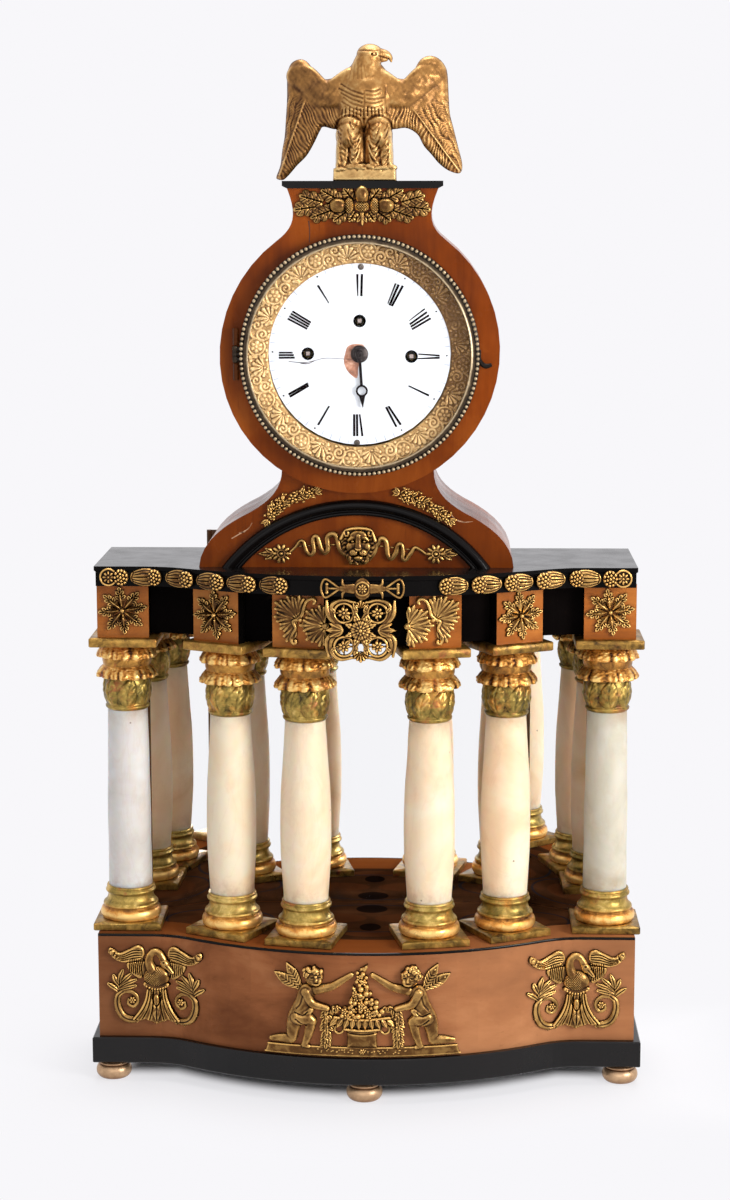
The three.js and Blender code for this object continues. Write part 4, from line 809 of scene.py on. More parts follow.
def capital(k, axis, turn, shade):
    """Cup of upright leaves, two frilled collars, and a square abacus."""
    sides = 192
    a = angles(sides) + rng.uniform(0, 6)
    slow = 0.35 * np.sin(2 * a + rng.uniform(0, 6)) + 0.25 * np.sin(5 * a + rng.uniform(0, 6))
    rough = soften(rng.normal(0, 1, (40, sides)), 2)

    t = np.linspace(0, 1, 60)[:, None]
    cup = np.interp(t, [0, 0.05, 0.1, 0.14, 0.3, 0.5, 0.75, 0.92, 1],
                    [10.9, 11.9, 12.1, 11.5, 12.5, 13.2, 13.0, 12.2, 11.8])
    place = (a + 0.12 * np.sin(4 * t + slow)) * LEAVES / (2 * math.pi)
    across = np.abs(place - np.floor(place) - 0.5)
    rise = np.clip((t - LEAF_FOOT) / 0.85, 0.001, 0.999)
    half = 0.5 * np.sin(math.pi * rise**0.62) ** 0.7 * (0.86 + 0.14 * np.abs(np.cos(9 * rise))) + 0.01
    blade = np.sqrt(np.clip(1 - (across / half) ** 2, 0, 1))
    vein = hill(across, 0, 0.05) * (blade > 0)
    ribs = np.sin(26 * rise - 20 * across) * blade
    body = np.clip((t - LEAF_FOOT) / 0.05, 0, 1) * np.clip((1 - t) / 0.05, 0, 1)
    carve = body * (blade - 0.7 - 0.4 * vein + 0.12 * ribs)
    cup_wear = np.clip(0.48 + 0.55 * (carve - soften(carve, 8)) + 0.1 * carve, 0, 1) + shade

    def collar(low, high, inner, outer, lobes):
        """A flared band with a wavy, chipped and slightly drooping lip."""
        seed = rng.uniform(0, 6)
        s = np.linspace(0, 1, 40)[:, None]
        knots = [0, 0.2, 0.42, 0.56, 0.66, 0.74, 0.88, 1]
        lip = np.interp(s, knots, [0.12, 0.26, 0.66, 0.95, 1.0, 0.86, 0.3, 0.0])
        drop = np.interp(s, knots, [1.0, 0.86, 0.6, 0.36, 0.16, 0.06, 0.26, 0.45])
        wave = lobes / 2 * a + seed + 2.2 * slow
        scallop = np.abs(np.cos(wave)) ** 0.7
        crimp = np.sin(3 * wave + 2 * slow)
        depth = 0.9 + 0.9 * slow
        flare = (outer - inner) * (0.8 + 0.2 * scallop * depth)
        reach = inner + lip * (flare + 0.2 * crimp + 0.5 * np.roll(rough, lobes, 1))
        height = low + (high - low) * drop - 1.2 * lip**3 * (scallop - 0.5) * depth
        wear = 0.44 + lip * (0.7 * (scallop - 0.35) + 0.3 * crimp) + 0.35 * rough - 0.5 * (s > 0.8)
        flared = loft(turned(axis, height[::-1], reach[::-1], sides))
        return flared, (np.clip(wear, 0, 1)[::-1] + shade, 0.2)

    low_collar = collar(*LOW_COLLAR, 11.8, 16.9, 15)
    top_collar = collar(*TOP_COLLAR, 12.2, 16.6, 14)
    neck = 12.2 + 1.2 * np.sin(np.linspace(0.3, 2.8, 10))
    solid, (wear, patina) = together(
        (loft(turned(axis, CUP_FOOT + CUP_TALL * t, cup + carve, sides)), (cup_wear, 1.0)), low_collar,
        (loft(turned(axis, np.linspace(*NECK, 10), neck, sides)), (0.4 + shade, 0.5)), top_collar,
        (slab(ABACUS_HALF, TOP_COLLAR[1], CAPITAL_TOP, turn, axis), (0.42 + shade, 0.7)))
    build(f"leaf_capital_{k}", solid, GILT, slot="gilt", stands_for=[f"column_capital_{k}"], sharp=55,
          wear=wear, patina=patina)


for number in range(1, 7):
    column(number)


# Carved eagle

EAGLE_X, EAGLE_Y, EAGLE_Z = -0.8, 26.0, 488.3
WING_LEFT = [(-5, 59.7), (-9, 56.4), (-13.4, 54.0), (-18.8, 52.9), (-23, 53.0), (-26.4, 55.4), (-28.6, 60.0),
             (-32, 62.9), (-36, 62.9), (-39.4, 60.4), (-41, 54.6), (-41.2, 43.1), (-41.9, 32.8),
             (-42.6, 23.7), (-44, 16), (-45.1, 8.2), (-47.3, 2.3), (-46.4, 0.9), (-43.5, 0.7), (-40.1, 3.6),
             (-36.1, 8.1), (-30.8, 13.3), (-26.8, 19.8), (-23.5, 26.3), (-21.5, 28.2),
             (-14.3, 26.9), (-4, 30)]
WING_RIGHT = [(6, 60), (13.3, 55), (17.3, 53.2), (21.6, 52.9), (24.8, 54.5), (26.9, 59), (29.6, 63.0),
              (33.8, 64.8), (38.4, 63.8), (42.1, 60.0), (43.6, 55.1), (44.2, 44.8), (44.9, 35.2),
              (46.9, 27.4), (49.2, 18.4), (51.6, 8.7), (50.3, 4.1), (45, 5.1), (39.7, 8.7), (35.1, 13.9),
              (31.1, 18.4), (27.8, 24.2), (21.9, 27.5), (14, 26.9), (4, 30)]
THIGHS = ((-8.0, 7.2), (7.6, 7.0))


def feathers(r, shaft, side, period, depth):
    """Flight feathers: a main quill with slanting barbs outside it and long narrow blades inside it."""
    a, b = np.asarray(shaft, float)
    length = np.hypot(*(b - a))
    d = (b - a) / length
    along = (r.u - a[0]) * d[0] + (r.v - a[1]) * d[1]
    off = ((r.u - a[0]) * d[1] - (r.v - a[1]) * d[0]) * side
    drift = 0.8 * np.sin(0.24 * along + 0.5 * off) + 0.45 * np.sin(0.57 * along - 0.33 * off + 1)
    strength = 0.75 + 0.35 * np.sin(0.41 * along + 0.9 * off) * np.sin(0.29 * along - 0.7 * off + 2)
    outer = np.sin(2 * math.pi * (along - 0.9 * np.abs(off) + drift) / 2.3)
    blade = (off + 0.06 * along + drift) / period
    across = np.abs(blade - np.floor(blade) - 0.5) * 2
    barbs = np.sin(2 * math.pi * (along + 1.3 * np.abs(across - 1) * period * 0.5 + drift) / 1.7)
    inner = 0.9 * across**3 + 0.14 * barbs
    cut = np.where(off < 0, 0.35 * outer + 0.3, inner) * depth * strength
    quill = hill(off, 0, 0.6) * (along > -2) * (along < length)
    return 0.7 * quill - cut * (1 - quill)


def eagle():
    r = Relief(-50, 54, 0, 71.5, 0.3)
    left = r.polygon(loop(WING_LEFT), 3.4, 3.4)
    right = r.polygon(loop(WING_RIGHT), 3.4, 3.4)
    wings = np.maximum(left, right) > 0
    for s in (-1, 1):
        r.stroke([(6 * s, 50), (20 * s, 44.5), (31 * s, 53), (35.5 * s, 54.5)], [9, 6.8, 7, 6], 0.45, 2.4)
        r.stroke([(7.4 * s, 31), (7.8 * s, 24), (8.3 * s, 16), (8.8 * s, 8)], [6.4, 7.0, 6.4, 5.8], 1.3, 1.6)
        r.stroke([(4.8 * s, 22), (5.0 * s, 14), (5.6 * s, 7.6)], [3.6, 3.0, 2.6], 1.0, 8.0)
        r.stroke([(11.2 * s, 20), (12.2 * s, 13), (12.6 * s, 7.6)], [3.6, 3.0, 2.4], 1.0, 7.2)
        for toe in (3.6, 6.8, 10.4, 13.6):
            r.stroke([(toe * s, 9.4), (toe * s * 1.03, 6.0)], [1.6, 1.3], 1.2, 9.2)
    r.dome(0, 43, 14.5, 19, 11.0)
    r.dome(0.5, 45, 12.8, 13, 12.4)
    r.dome(0.2, 38, 13.5, 8, 11.0)
    r.dome(0.3, 16, 9, 16, 8.4)
    r.stroke([(-0.4, 50), (0.8, 57), (2.2, 63)], [9.8, 8.0, 6.6], 1.0, 0.5)
    r.dome(2.9, 65.2, 7.0, 5.6, 7.2)
    r.stroke([(7.4, 65.8), (11.2, 65.3), (13.4, 63.8), (14, 61.8)], [3.0, 2.2, 1.3, 0.5], 1.1)
    r.stroke([(7.6, 63.2), (11.4, 62.6)], [2.2, 0.8], 1.1)
    inside = r.edge > 0
    r.height = np.where(inside, soften(r.height, 8), r.height)
    for x, half in THIGHS:
        r.dome(x, 23.5, half, 9.6, 13.8)
    r.height = np.where(inside, soften(r.height, 2), r.height)
    plinth = r.polygon([(-16.6, 0), (16.9, 0), (16.7, 6.4), (9, 6.9), (2, 6.5), (-6, 7.0),
                        (-16.4, 6.6)], 11, 0.7)
    back = 0.8 * soften(np.where(inside, r.height, 0), 12)
    back = np.where(plinth > 0, 10.0, back)

    body = np.hypot((r.u - 0.4) / 13.4, (r.v - 40) / 23)
    out = wings * fade(body, 0.95, 1.25)
    carve = np.where(r.u > 0, feathers(r, [(22, 42), (50, 5)], -1, 3.4, 1.0),
                     feathers(r, [(-30, 46), (-45.5, 3)], 1, 3.2, 0.8))
    arc_r = 40.5 - 0.0045 * (r.u - 8) ** 2 + fade(r.u, 26, 44) * 10
    arc_l = 40 + fade(-r.u, 24, 40) * 8
    low = fade(np.where(r.u > 0, arc_r, arc_l) - r.v, 0, 5)
    lumps = 0.2 * np.sin(0.6 * r.u + 0.4 * r.v) * np.sin(0.5 * r.v - 0.3 * r.u)
    scallop = 0.12 * np.abs(np.sin(0.85 * r.u)) * np.sin(1.3 * r.v)
    carve = out * (low * carve + (1 - low) * (lumps + scallop))
    r.height = np.maximum(r.height + carve, 0.3)
    back = np.maximum(back + np.where(plinth > 0, 0, 0.8 * carve), 0.3)

    dice = np.random.default_rng(7)
    for k in range(6):
        start = -12.4 + 0.5 * k + dice.uniform(-1.2, 1.2)
        r.groove([(start, 50.0 - 2.3 * k), (-6.4, 46.6 - 2.2 * k),
                  (-0.8 + dice.uniform(-1.2, 0.4), 44.6 - 2.2 * k)], 0.5, dice.uniform(0.35, 0.65))
        r.groove([(dice.uniform(0.6, 2.4), 46.4 - 2.1 * k), (5.2, 46.0 - 2.1 * k),
                  (dice.uniform(8.0, 10.4), 47.4 - 2.2 * k)], 0.45, dice.uniform(0.2, 0.5))
    r.groove([(0.2, 46), (0.3, 43), (0.1, 38)], 0.5, 0.3)
    r.groove([(11.6, 48), (11.2, 43), (11.8, 36)], 0.6, 0.3)
    for k in range(13):
        x = -11.4 + 1.9 * k + dice.uniform(-0.3, 0.3)
        r.groove([(x, 37.6 + dice.uniform(-0.8, 0.4)), (x * 1.02, 35.0), (x * 1.04, 33.4)], 0.4,
                 dice.uniform(0.4, 0.8))
    for x, half in THIGHS:
        r.groove([(x - half - 0.6, 26), (x - 0.75 * half, 31.6), (x, 33.8), (x + 0.75 * half, 31.6),
                  (x + half + 0.2, 26)], 0.7, 1.2)
    for s in (-1, 1):
        for k in range(30):
            x = 2.8 + 5.2 * (k % 3) + dice.uniform(-0.9, 0.9)
            z = 29.5 - 2.2 * (k // 3) + dice.uniform(-0.8, 0.8)
            lean = dice.uniform(0.4, 1.2) * (1 if k % 3 else -1)
            r.groove([(x * s, z), ((x - 0.9 * lean) * s, z - 2.2), ((x - 2.6 * lean) * s, z - 3.8)],
                     dice.uniform(0.35, 0.6), dice.uniform(0.3, 0.7))
        r.groove([(7.9 * s, 17), (8.1 * s, 13), (8.5 * s, 9.4)], 0.7, 0.9)
    for k in range(9):
        r.dome(-14 + 3.5 * k + dice.uniform(-1, 1), 6.4 + dice.uniform(-0.8, 1.0), dice.uniform(2.4, 4.0),
               dice.uniform(1.0, 2.0), 1.4, dice.uniform(-14, 14), 10.0)
    r.groove([(-0.2, 32), (0.1, 20), (0.2, 8)], 0.8, 1.4)
    for k in range(5):
        r.groove([(-6.4 + 1.6 * k, 61.5 - 0.5 * k), (-7.8 + 2.2 * k, 52.5)], 0.4, 0.15)
    r.groove([(-2.6, 67.4), (2.6, 66.9), (7.2, 67.2)], 0.5, 0.7)
    r.groove([(7.8, 64.4), (12.6, 63.2)], 0.35, 0.8)
    r.groove([(8.2, 67.6), (8.6, 62.4)], 0.35, 0.5)
    r.groove([(4.4, 65.3), (5.8, 65.4)], 0.8, 1.2)
    r.dome(5.2, 65.3, 0.75, 0.65, 0.5, 0, 6.4)
    r.height = np.maximum(r.height, 0.2)
    r.height += inside * 0.05 * np.sin(1.7 * r.u + np.sin(r.v)) * np.sin(1.5 * r.v + np.sin(r.u))

    def mapped(u, v, h):
        sweep = 0.0046 * u**2
        return np.stack([u + EAGLE_X, EAGLE_Y + PLAN + sweep - h, v + EAGLE_Z], -1)
    # Painted shade on both wings, deeper on the left, and painted light on the plinth.
    shade = -0.15 * fade(-r.u, 10, 20) - 0.07 * fade(r.u, 12, 20)
    tint = np.where(plinth > 0, 0.2, shade)
    r.piece("carved_eagle", mapped, EAGLE_GILT, rim=0.5, back=back, contrast=1.3, tint=tint, slot="gilt_wood",
            stands_for=["eagle"])


eagle()


# Stamped brass mounts

CORNICE_OUT, FRIEZE_OUT = 2.5, -0.5
GARLAND_Z = 280.6
NECK_PLANE, PEDESTAL_PLANE = -9, -3


def mount(r, name, mapped, **settings):
    """A stamped brass mount from a relief."""
    r.piece(name, mapped, MOUNT, slot="gilt_brass", **settings)


def rosette(r, x, y, radius, petals, rise, lift):
    """A flower of round petals about a bead."""
    broad = max(0.62 * radius * math.sin(math.pi / petals), 0.35)
    for k in range(petals):
        a = 360 * k / petals
        r.dome(*polar(x, y, 0.62 * radius, a), 0.42 * radius, broad, rise, a, lift)
    r.dome(x, y, 0.3 * radius, 0.3 * radius, rise * 1.2, 0, lift)


def fan(r, x, y, turn, ribs, spread, length, thick, lift):
    """A palmette: ridged leaves with round ends that open from one point, parted by dark lines."""
    gap = math.radians(2 * spread / (ribs - 1))
    for k in range(ribs):
        t = 2 * k / (ribs - 1) - 1
        a = turn + spread * t
        reach = length * (1 - 0.3 * abs(t))
        broad = 0.84 * reach * gap
        r.leaf(x, y, a, reach, broad, 1.2 * thick, 0, lift + 0.3 * thick * (1 - abs(t)), -0.3, belly=2.0)
        r.dome(*polar(x, y, 0.86 * reach, a), 0.14 * reach, 0.46 * broad, 1.4 * thick, a, lift + 0.2)
    for k in range(ribs - 1):
        t = (2 * k + 1) / (ribs - 1) - 1
        a = turn + spread * t
        reach = length * (1 - 0.3 * abs(t))
        r.groove([polar(x, y, 0.1 * reach, a), polar(x, y, 0.95 * reach, a)], 0.3 * thick, 1.2 * thick)


def oak(r, x, y, turn, length, width, lobes, lift):
    """A leaf with round lobes along both sides of its rib."""
    veins = [([(x, y), polar(x, y, 0.94 * length, turn)], 0.28, 0.8)]
    for k in range(lobes):
        t = (k + 0.55) / (lobes + 0.3)
        out = 0.27 * width * math.sin(math.pi * min(0.24 + 0.6 * t, 1))
        for side in (-1, 1):
            middle = polar(*polar(x, y, t * length, turn), out, turn + 90 * side)
            r.dome(*middle, 0.34 * width, 0.58 * length / lobes, 1.6, turn + side * 56, lift)
            tip = polar(*polar(x, y, (t + 0.1) * length, turn), 1.7 * out, turn + 90 * side)
            veins.append(([polar(x, y, (t - 0.1) * length, turn), tip], 0.24, 0.45))
    r.dome(*polar(x, y, 0.86 * length, turn), 0.2 * length, 0.24 * width, 1.5, turn, lift)
    r.leaf(x, y, turn, length, 0.5 * width, 1.2, 0, lift, 0.0)
    for vein in veins:
        r.groove(*vein)


def acanthus(r, x, y, lobes, ribs, lift):
    """Leaf lobes that spread from one point, each a paddle under ribs that bow apart and end rounded."""
    bows = ((0.14, 0.2), (0.5, 0.55), (0.8, 0.95), (1.0, 1.3))
    for angle, reach in lobes:
        r.leaf(x, y, angle, reach, 0.52 * reach, 1.1, 0, lift, 0.0, belly=1.7)
    for angle, reach in lobes:
        for lean in ribs:
            far = reach * (1 - 0.0012 * lean**2)
            line = [polar(x, y, far * share, angle + lean * bow) for share, bow in bows]
            r.stroke(line, [0.3, 0.7, 1.1, 0.9], 1.0, lift + 0.5)


def scales(r):
    """A net of small scales."""
    return (np.abs(np.sin(2.4 * (r.u + r.v)) * np.sin(2.4 * (r.u - r.v))) - 0.5) * 0.8


def neck_mount():
    """Three acorns among oak leaves."""
    r = Relief(-39, 37, 464.5, 487, 0.25)
    c = -1.1
    for s in (-1, 1):
        for x, y, turn, length, width, lobes in ((22, 475.4, -8, 13, 7.4, 3), (20, 477.4, 16, 12.4, 7.2, 3),
                                                 (15, 473.6, -20, 12, 7.2, 3), (11, 478, 30, 11.4, 7.4, 3),
                                                 (7, 473.4, -36, 9.4, 6.4, 3), (4, 478, 50, 8.4, 6.2, 2),
                                                 (3.2, 472.6, -56, 6, 4.4, 2)):
            oak(r, c + s * x, y, flip_turn(s, turn), length, width, lobes, 0.2)
        r.dome(c + s * 12.4, 475.8, 4.3, 3.6, 3.2, 0, 1.6)
        r.ring(c + s * 16.8, 475.8, 0.4, 0.4, 1.2, 1.4)
        r.dome(c + s * 6.6, 475.6, 2.4, 4.1, 2.8, 0, 1.6)
        r.stroke([(c + s * 0.8, 472.6), (c + s * 3.2, 474.6)], [0.6, 0.4], 1, 0.5)
        r.leaf(c, 471, -90 + 34 * s, 5, 2.4, 1.0, 0, 0.4)
    r.dome(c, 481, 3.5, 4.9, 3.2, 0, 1.6)
    r.dome(c, 475.4, 3.9, 2.9, 3.0, 0, 1.6)
    r.stroke([(c, 473.6), (c + 0.2, 466)], [1.3, 0.6], 1, 0.8)
    cups = [np.hypot((r.u - c) / 3.9, (r.v - 475.2) / 2.7) < 0.95]
    cups += [np.hypot((r.u - c - s * 6.6) / 2.3, (r.v - 475.6) / 3.9) < 0.95 for s in (-1, 1)]
    r.height += np.any(cups, 0) * scales(r)
    mount(r, "neck_mount", flat(NECK_PLANE), contrast=0.8, tint=-0.07)


def lion_mount():
    """A lion mask between two waving snakes, each with a flower at its tail."""
    r = Relief(-58, 51, 286.6, 309.2, 0.25)
    x, z = -3.4, 298.2
    left = [(-7.3, 289.7), (-9.7, 292.8), (-13.2, 295.9), (-14.9, 302.4), (-17.3, 304.2), (-19.9, 302.4),
            (-19.6, 296.6), (-21.2, 294.2), (-23.2, 296.6), (-24.9, 301.8), (-26.5, 302.8), (-27.6, 300.6),
            (-27, 295.2), (-28.8, 293.2), (-31, 295.2), (-32.5, 299.8), (-34.4, 300.2),
            (-36.7, 297.3), (-39.4, 294.6)]
    right = [(0.6, 289.8), (4.5, 293.9), (6.2, 298.7), (8.6, 301.8), (11.2, 300.1), (12.1, 293.4),
             (13.8, 291.3), (16.1, 293.9), (17.6, 298.3), (19.4, 298.3), (20.2, 294.2), (20, 291.4),
             (21.6, 290.6), (24.2, 293.9), (26.3, 296.9), (29, 296), (32.6, 293.4)]
    for path in (left, right):
        r.stroke(path, [1.5, 1.5, 1.45, 1.3, 1.2, 0.7], 1.15, 0.2)
        r.dome(*path[0], 2.0, 1.3, 1.9, 60, 0.8)
    r.stroke([(-37, 297.4), (-13, 298.6)], 0.3, 1.0, 0.1)
    r.stroke([(6, 298), (27, 295.6)], 0.3, 1.0, 0.1)
    for k in range(22):
        a = 2 * math.pi * k / 22 + 0.14
        swirl = a + 0.22
        tip = (x + 9.0 * math.cos(swirl), z - 0.2 + 9.9 * math.sin(swirl))
        r.stroke([(x + 5.4 * math.cos(a), z + 6.2 * math.sin(a)),
                  (x + 7.6 * math.cos(a), z + 8.6 * math.sin(a)), tip], [1.3, 1.2, 0.6], 1.2,
                 0.5 + 0.5 * (k % 2))
    r.dome(x, z + 0.6, 6.3, 7.6, 3.2, 0, 1.0)
    r.dome(x, z + 5.2, 4.6, 3.0, 1.6, 0, 3.0)
    r.stroke([(x, z + 5.4), (x, z + 1.4), (x, z - 1.4)], [1.5, 1.6, 2.1], 0.9, 3.9)
    r.polygon([(x - 2.1, z - 1.0), (x + 2.1, z - 1.0), (x + 0.6, z - 3.0), (x - 0.6, z - 3.0)], 0.8, 0.7, 5.4)
    r.dome(x, z - 6.4, 2.4, 1.7, 1.6, 0, 2.6)
    for s in (-1, 1):
        r.dome(x + 2.3 * s, z - 3.4, 2.6, 2.1, 2.2, -14 * s, 3.4)
        r.dome(x + 4.4 * s, z - 0.6, 2.0, 2.6, 1.2, 0, 2.8)
        r.stroke([(x + 1.4 * s, z + 4.4), (x + 3.2 * s, z + 4.5), (x + 5.2 * s, z + 3.0)],
                 [1.0, 1.2, 0.7], 1.0, 3.4)
        r.dome(x + 6.4 * s, z + 6.6, 2.0, 2.1, 2.0, 0, 2.2)
        r.stroke([(x + 5.0 * s, z - 5.2), (x + 4.4 * s, z - 8.2), (x + 2.6 * s, z - 9.4)],
                 [1.2, 1.2, 0.6], 1.1, 1.2)
    r.stroke([(x - 9.4, z + 3.6), (x - 6.4, z + 8.2), (x, z + 9.4), (x + 6.4, z + 8.2),
              (x + 9.0, z + 2.6)], 0.85, 1.1, 2.8)
    for s in (-1, 1):
        r.groove([(x + 2.3 * s, z + 2.6), (x + 4.2 * s, z + 2.2)], 0.7, 1.6)
        r.dome(x + 3.1 * s, z + 2.4, 0.8, 0.6, 0.6, 0, 3.2)
        r.groove([(x, z - 3.0), (x + 0.4 * s, z - 4.8), (x + 3.4 * s, z - 5.6)], 0.45, 1.3)
        r.groove([(x + 6.4 * s, z + 6.2), (x + 6.6 * s, z + 7.2)], 0.7, 1.2)
        for k in range(3):
            r.groove([(x + (1.6 + 0.9 * k) * s, z - 2.9), (x + (2.0 + 0.9 * k) * s, z - 3.8)], 0.25, 0.4)
    for fx, s in ((-44.4, -1), (37.5, 1)):
        rosette(r, fx, 293.6, 5.2, 10, 1.1, 0.4)
        r.ring(fx, 293.6, 1.9, 0.5, 1.0, 1.0)
        r.dome(fx, 293.6, 1.2, 1.2, 1.2, 0, 0.8)
        for spread in (-34, 0, 34):
            r.leaf(fx + 4 * s, 293.5, flip_turn(s, spread), 8.4 - 0.08 * abs(spread), 3.4, 1.1, 2, 0.2)
    mount(r, "lion_mount", flat(PEDESTAL_PLANE), contrast=0.8, tint=-0.05)


def spray_mount(name, path, seed):
    """A spray of blossoms and leaves along a bent stem."""
    dice = np.random.default_rng(seed)
    line = curve(path, 12)
    low, high = line.min(0) - 8, line.max(0) + 8
    r = Relief(low[0], high[0], low[1], high[1], 0.22)
    r.stroke(path, 0.7, 1, 0.2)
    n = len(line)
    for k in range(1, n, 4):
        x, y = line[k]
        d = line[min(k + 1, n - 1)] - line[max(k - 1, 0)]
        a = math.degrees(math.atan2(d[1], d[0]))
        for s in (-1, 1):
            size = dice.uniform(4.0, 5.8)
            r.leaf(x, y, a + s * dice.uniform(28, 66), size, dice.uniform(2.2, 3.0), 1.3, 2,
                   dice.uniform(0.2, 0.8), 0.5)
            bud = a + s * dice.uniform(60, 110)
            reach = dice.uniform(1.8, 3.8)
            r.dome(*polar(x, y, reach, bud), dice.uniform(0.7, 1.0), dice.uniform(0.6, 0.8), 1.6, a, 0.4)
    for k, size in ((5, 2.5), (14, 2.1), (24, 2.6), (33, 2.3)):
        x, y = line[min(k, n - 1)]
        for petal in range(5):
            a = 72 * petal + 20 * k
            r.dome(*polar(x, y, 0.6 * size, a), 0.46 * size, 0.36 * size, 1.5, a, 1.1)
        r.dome(x, y, 0.7, 0.7, 1.0, 0, 1.9)
    for end, before in ((line[-1], line[-2]), (line[0], line[1])):
        a = math.degrees(math.atan2(*(end - before)[::-1]))
        for lean in (-34, 0, 34):
            r.leaf(*end, a + lean, 4.6, 2.2, 1.2, 0, 0.4, 0.5)
    mount(r, name, flat(PEDESTAL_PLANE), contrast=0.8)


def cornice_mounts():
    """Six buds each side of the cornice, the inner end of each covered with berries."""
    limits = [38.0, 54.5, 72.0, 88.5, 106.0, 125.3, 141.6]
    z = GARLAND_Z
    for side, word in ((-1, "left"), (1, "right")):
        r = Relief(*sorted((side * 36, side * 143)), 275.2, 286.2, 0.25)
        for k, (a, b) in enumerate(zip(limits, limits[1:])):
            width = b - a
            if k == 5:
                x = side * (b - 5.0)
                r.dome(x, z, 5.0, 4.9, 0.8)
                r.ring(x, z, 4.3, 0.6, 1.2, 0.6)
                rosette(r, x, z, 3.2, 8, 1.0, 0.7)
                berry = a + 0.28 * width
            else:
                x = side * (a + 0.54 * width)
                long = 0.46 * width
                r.dome(x, z, long, 4.8, 2.2, 0, 0.2)
                r.dome(x + side * 0.3 * long, z, 0.66 * long, 3.7, 2.4, 0, 0.3)
                for row in (-2.4, -1.2, 0.2, 1.4, 2.4):
                    r.groove([(x - side * 0.9 * long, z + row * 1.1), (x + side * 0.1 * long, z + row * 1.6),
                              (x + side * 0.78 * long, z + row * 0.9)], 0.32, 0.7 - 0.12 * abs(row))
                r.groove([(x + side * 0.78 * long, z + 2.4), (x + side * 0.86 * long, z),
                          (x + side * 0.78 * long, z - 2.4)], 0.32, 0.6)
                berry = a + 0.3 * width
            r.dome(side * berry, z, 4.0, 4.4, 1.0, 0, 0.9)
            for ring, count, turn in ((0.0, 1, 0), (1.6, 6, 20), (3.1, 11, 0)):
                for n in range(count):
                    angle = math.radians(turn + 360 * n / count)
                    r.dome(side * (berry + ring * math.cos(angle)), z + 1.15 * ring * math.sin(angle), 0.88,
                           0.88, 1.3, 0, 2.2 - 0.3 * ring)
        # Painted shade: the left garland is darkened.
        tint = -0.12 if side < 0 else 0.0
        mount(r, f"cornice_garland_{word}", serpentine(CORNICE_OUT), rim=0.3, contrast=0.8, tint=tint)


def anthemion():
    """Bar on the middle of the cornice: an oval boss between two open palmettes."""
    r = Relief(-22.5, 22.5, -6.6, 6.6, 0.24)
    r.dome(0, -0.2, 4.5, 5.7, 1.2)
    r.ring(0, 0, 3.4, 0.6, 1.2, 0.8)
    rosette(r, 0, 0, 2.4, 8, 0.8, 1.2)
    eye = [(12, 0.3), (18.4, 4.6), (20.6, 3.4), (21.4, 0), (20.6, -3.4), (18.4, -4.6), (12, -0.3)]
    for s in (-1, 1):
        r.stroke(flip(s, [(4.8, 0), (9.5, 0), (12, 0)]), [2.6, 1.9, 0.9], 0.6)
        r.stroke(flip(s, [(9, 1), (10.2, 2.6), (10.4, 4.8)]), [1.0, 0.8, 0.4])
        r.stroke(flip(s, [(9, -1), (10.2, -2.6), (10.4, -4.8)]), [1.0, 0.8, 0.4])
        r.stroke(flip(s, eye), 0.6)
        r.stroke(flip(s, [(12, 0), (18.6, 0)]), [0.6, 0.45])
        r.stroke(flip(s, [(18.4, -2.2), (18.4, 2.2)]), 0.8)
        r.dome(18.4 * s, 2.2, 0.9, 0.9, 1)
        r.dome(18.4 * s, -2.2, 0.9, 0.9, 1)
    mount(r, "cornice_anthemion", serpentine(CORNICE_OUT, -0.4, 279.9), rim=0.5)


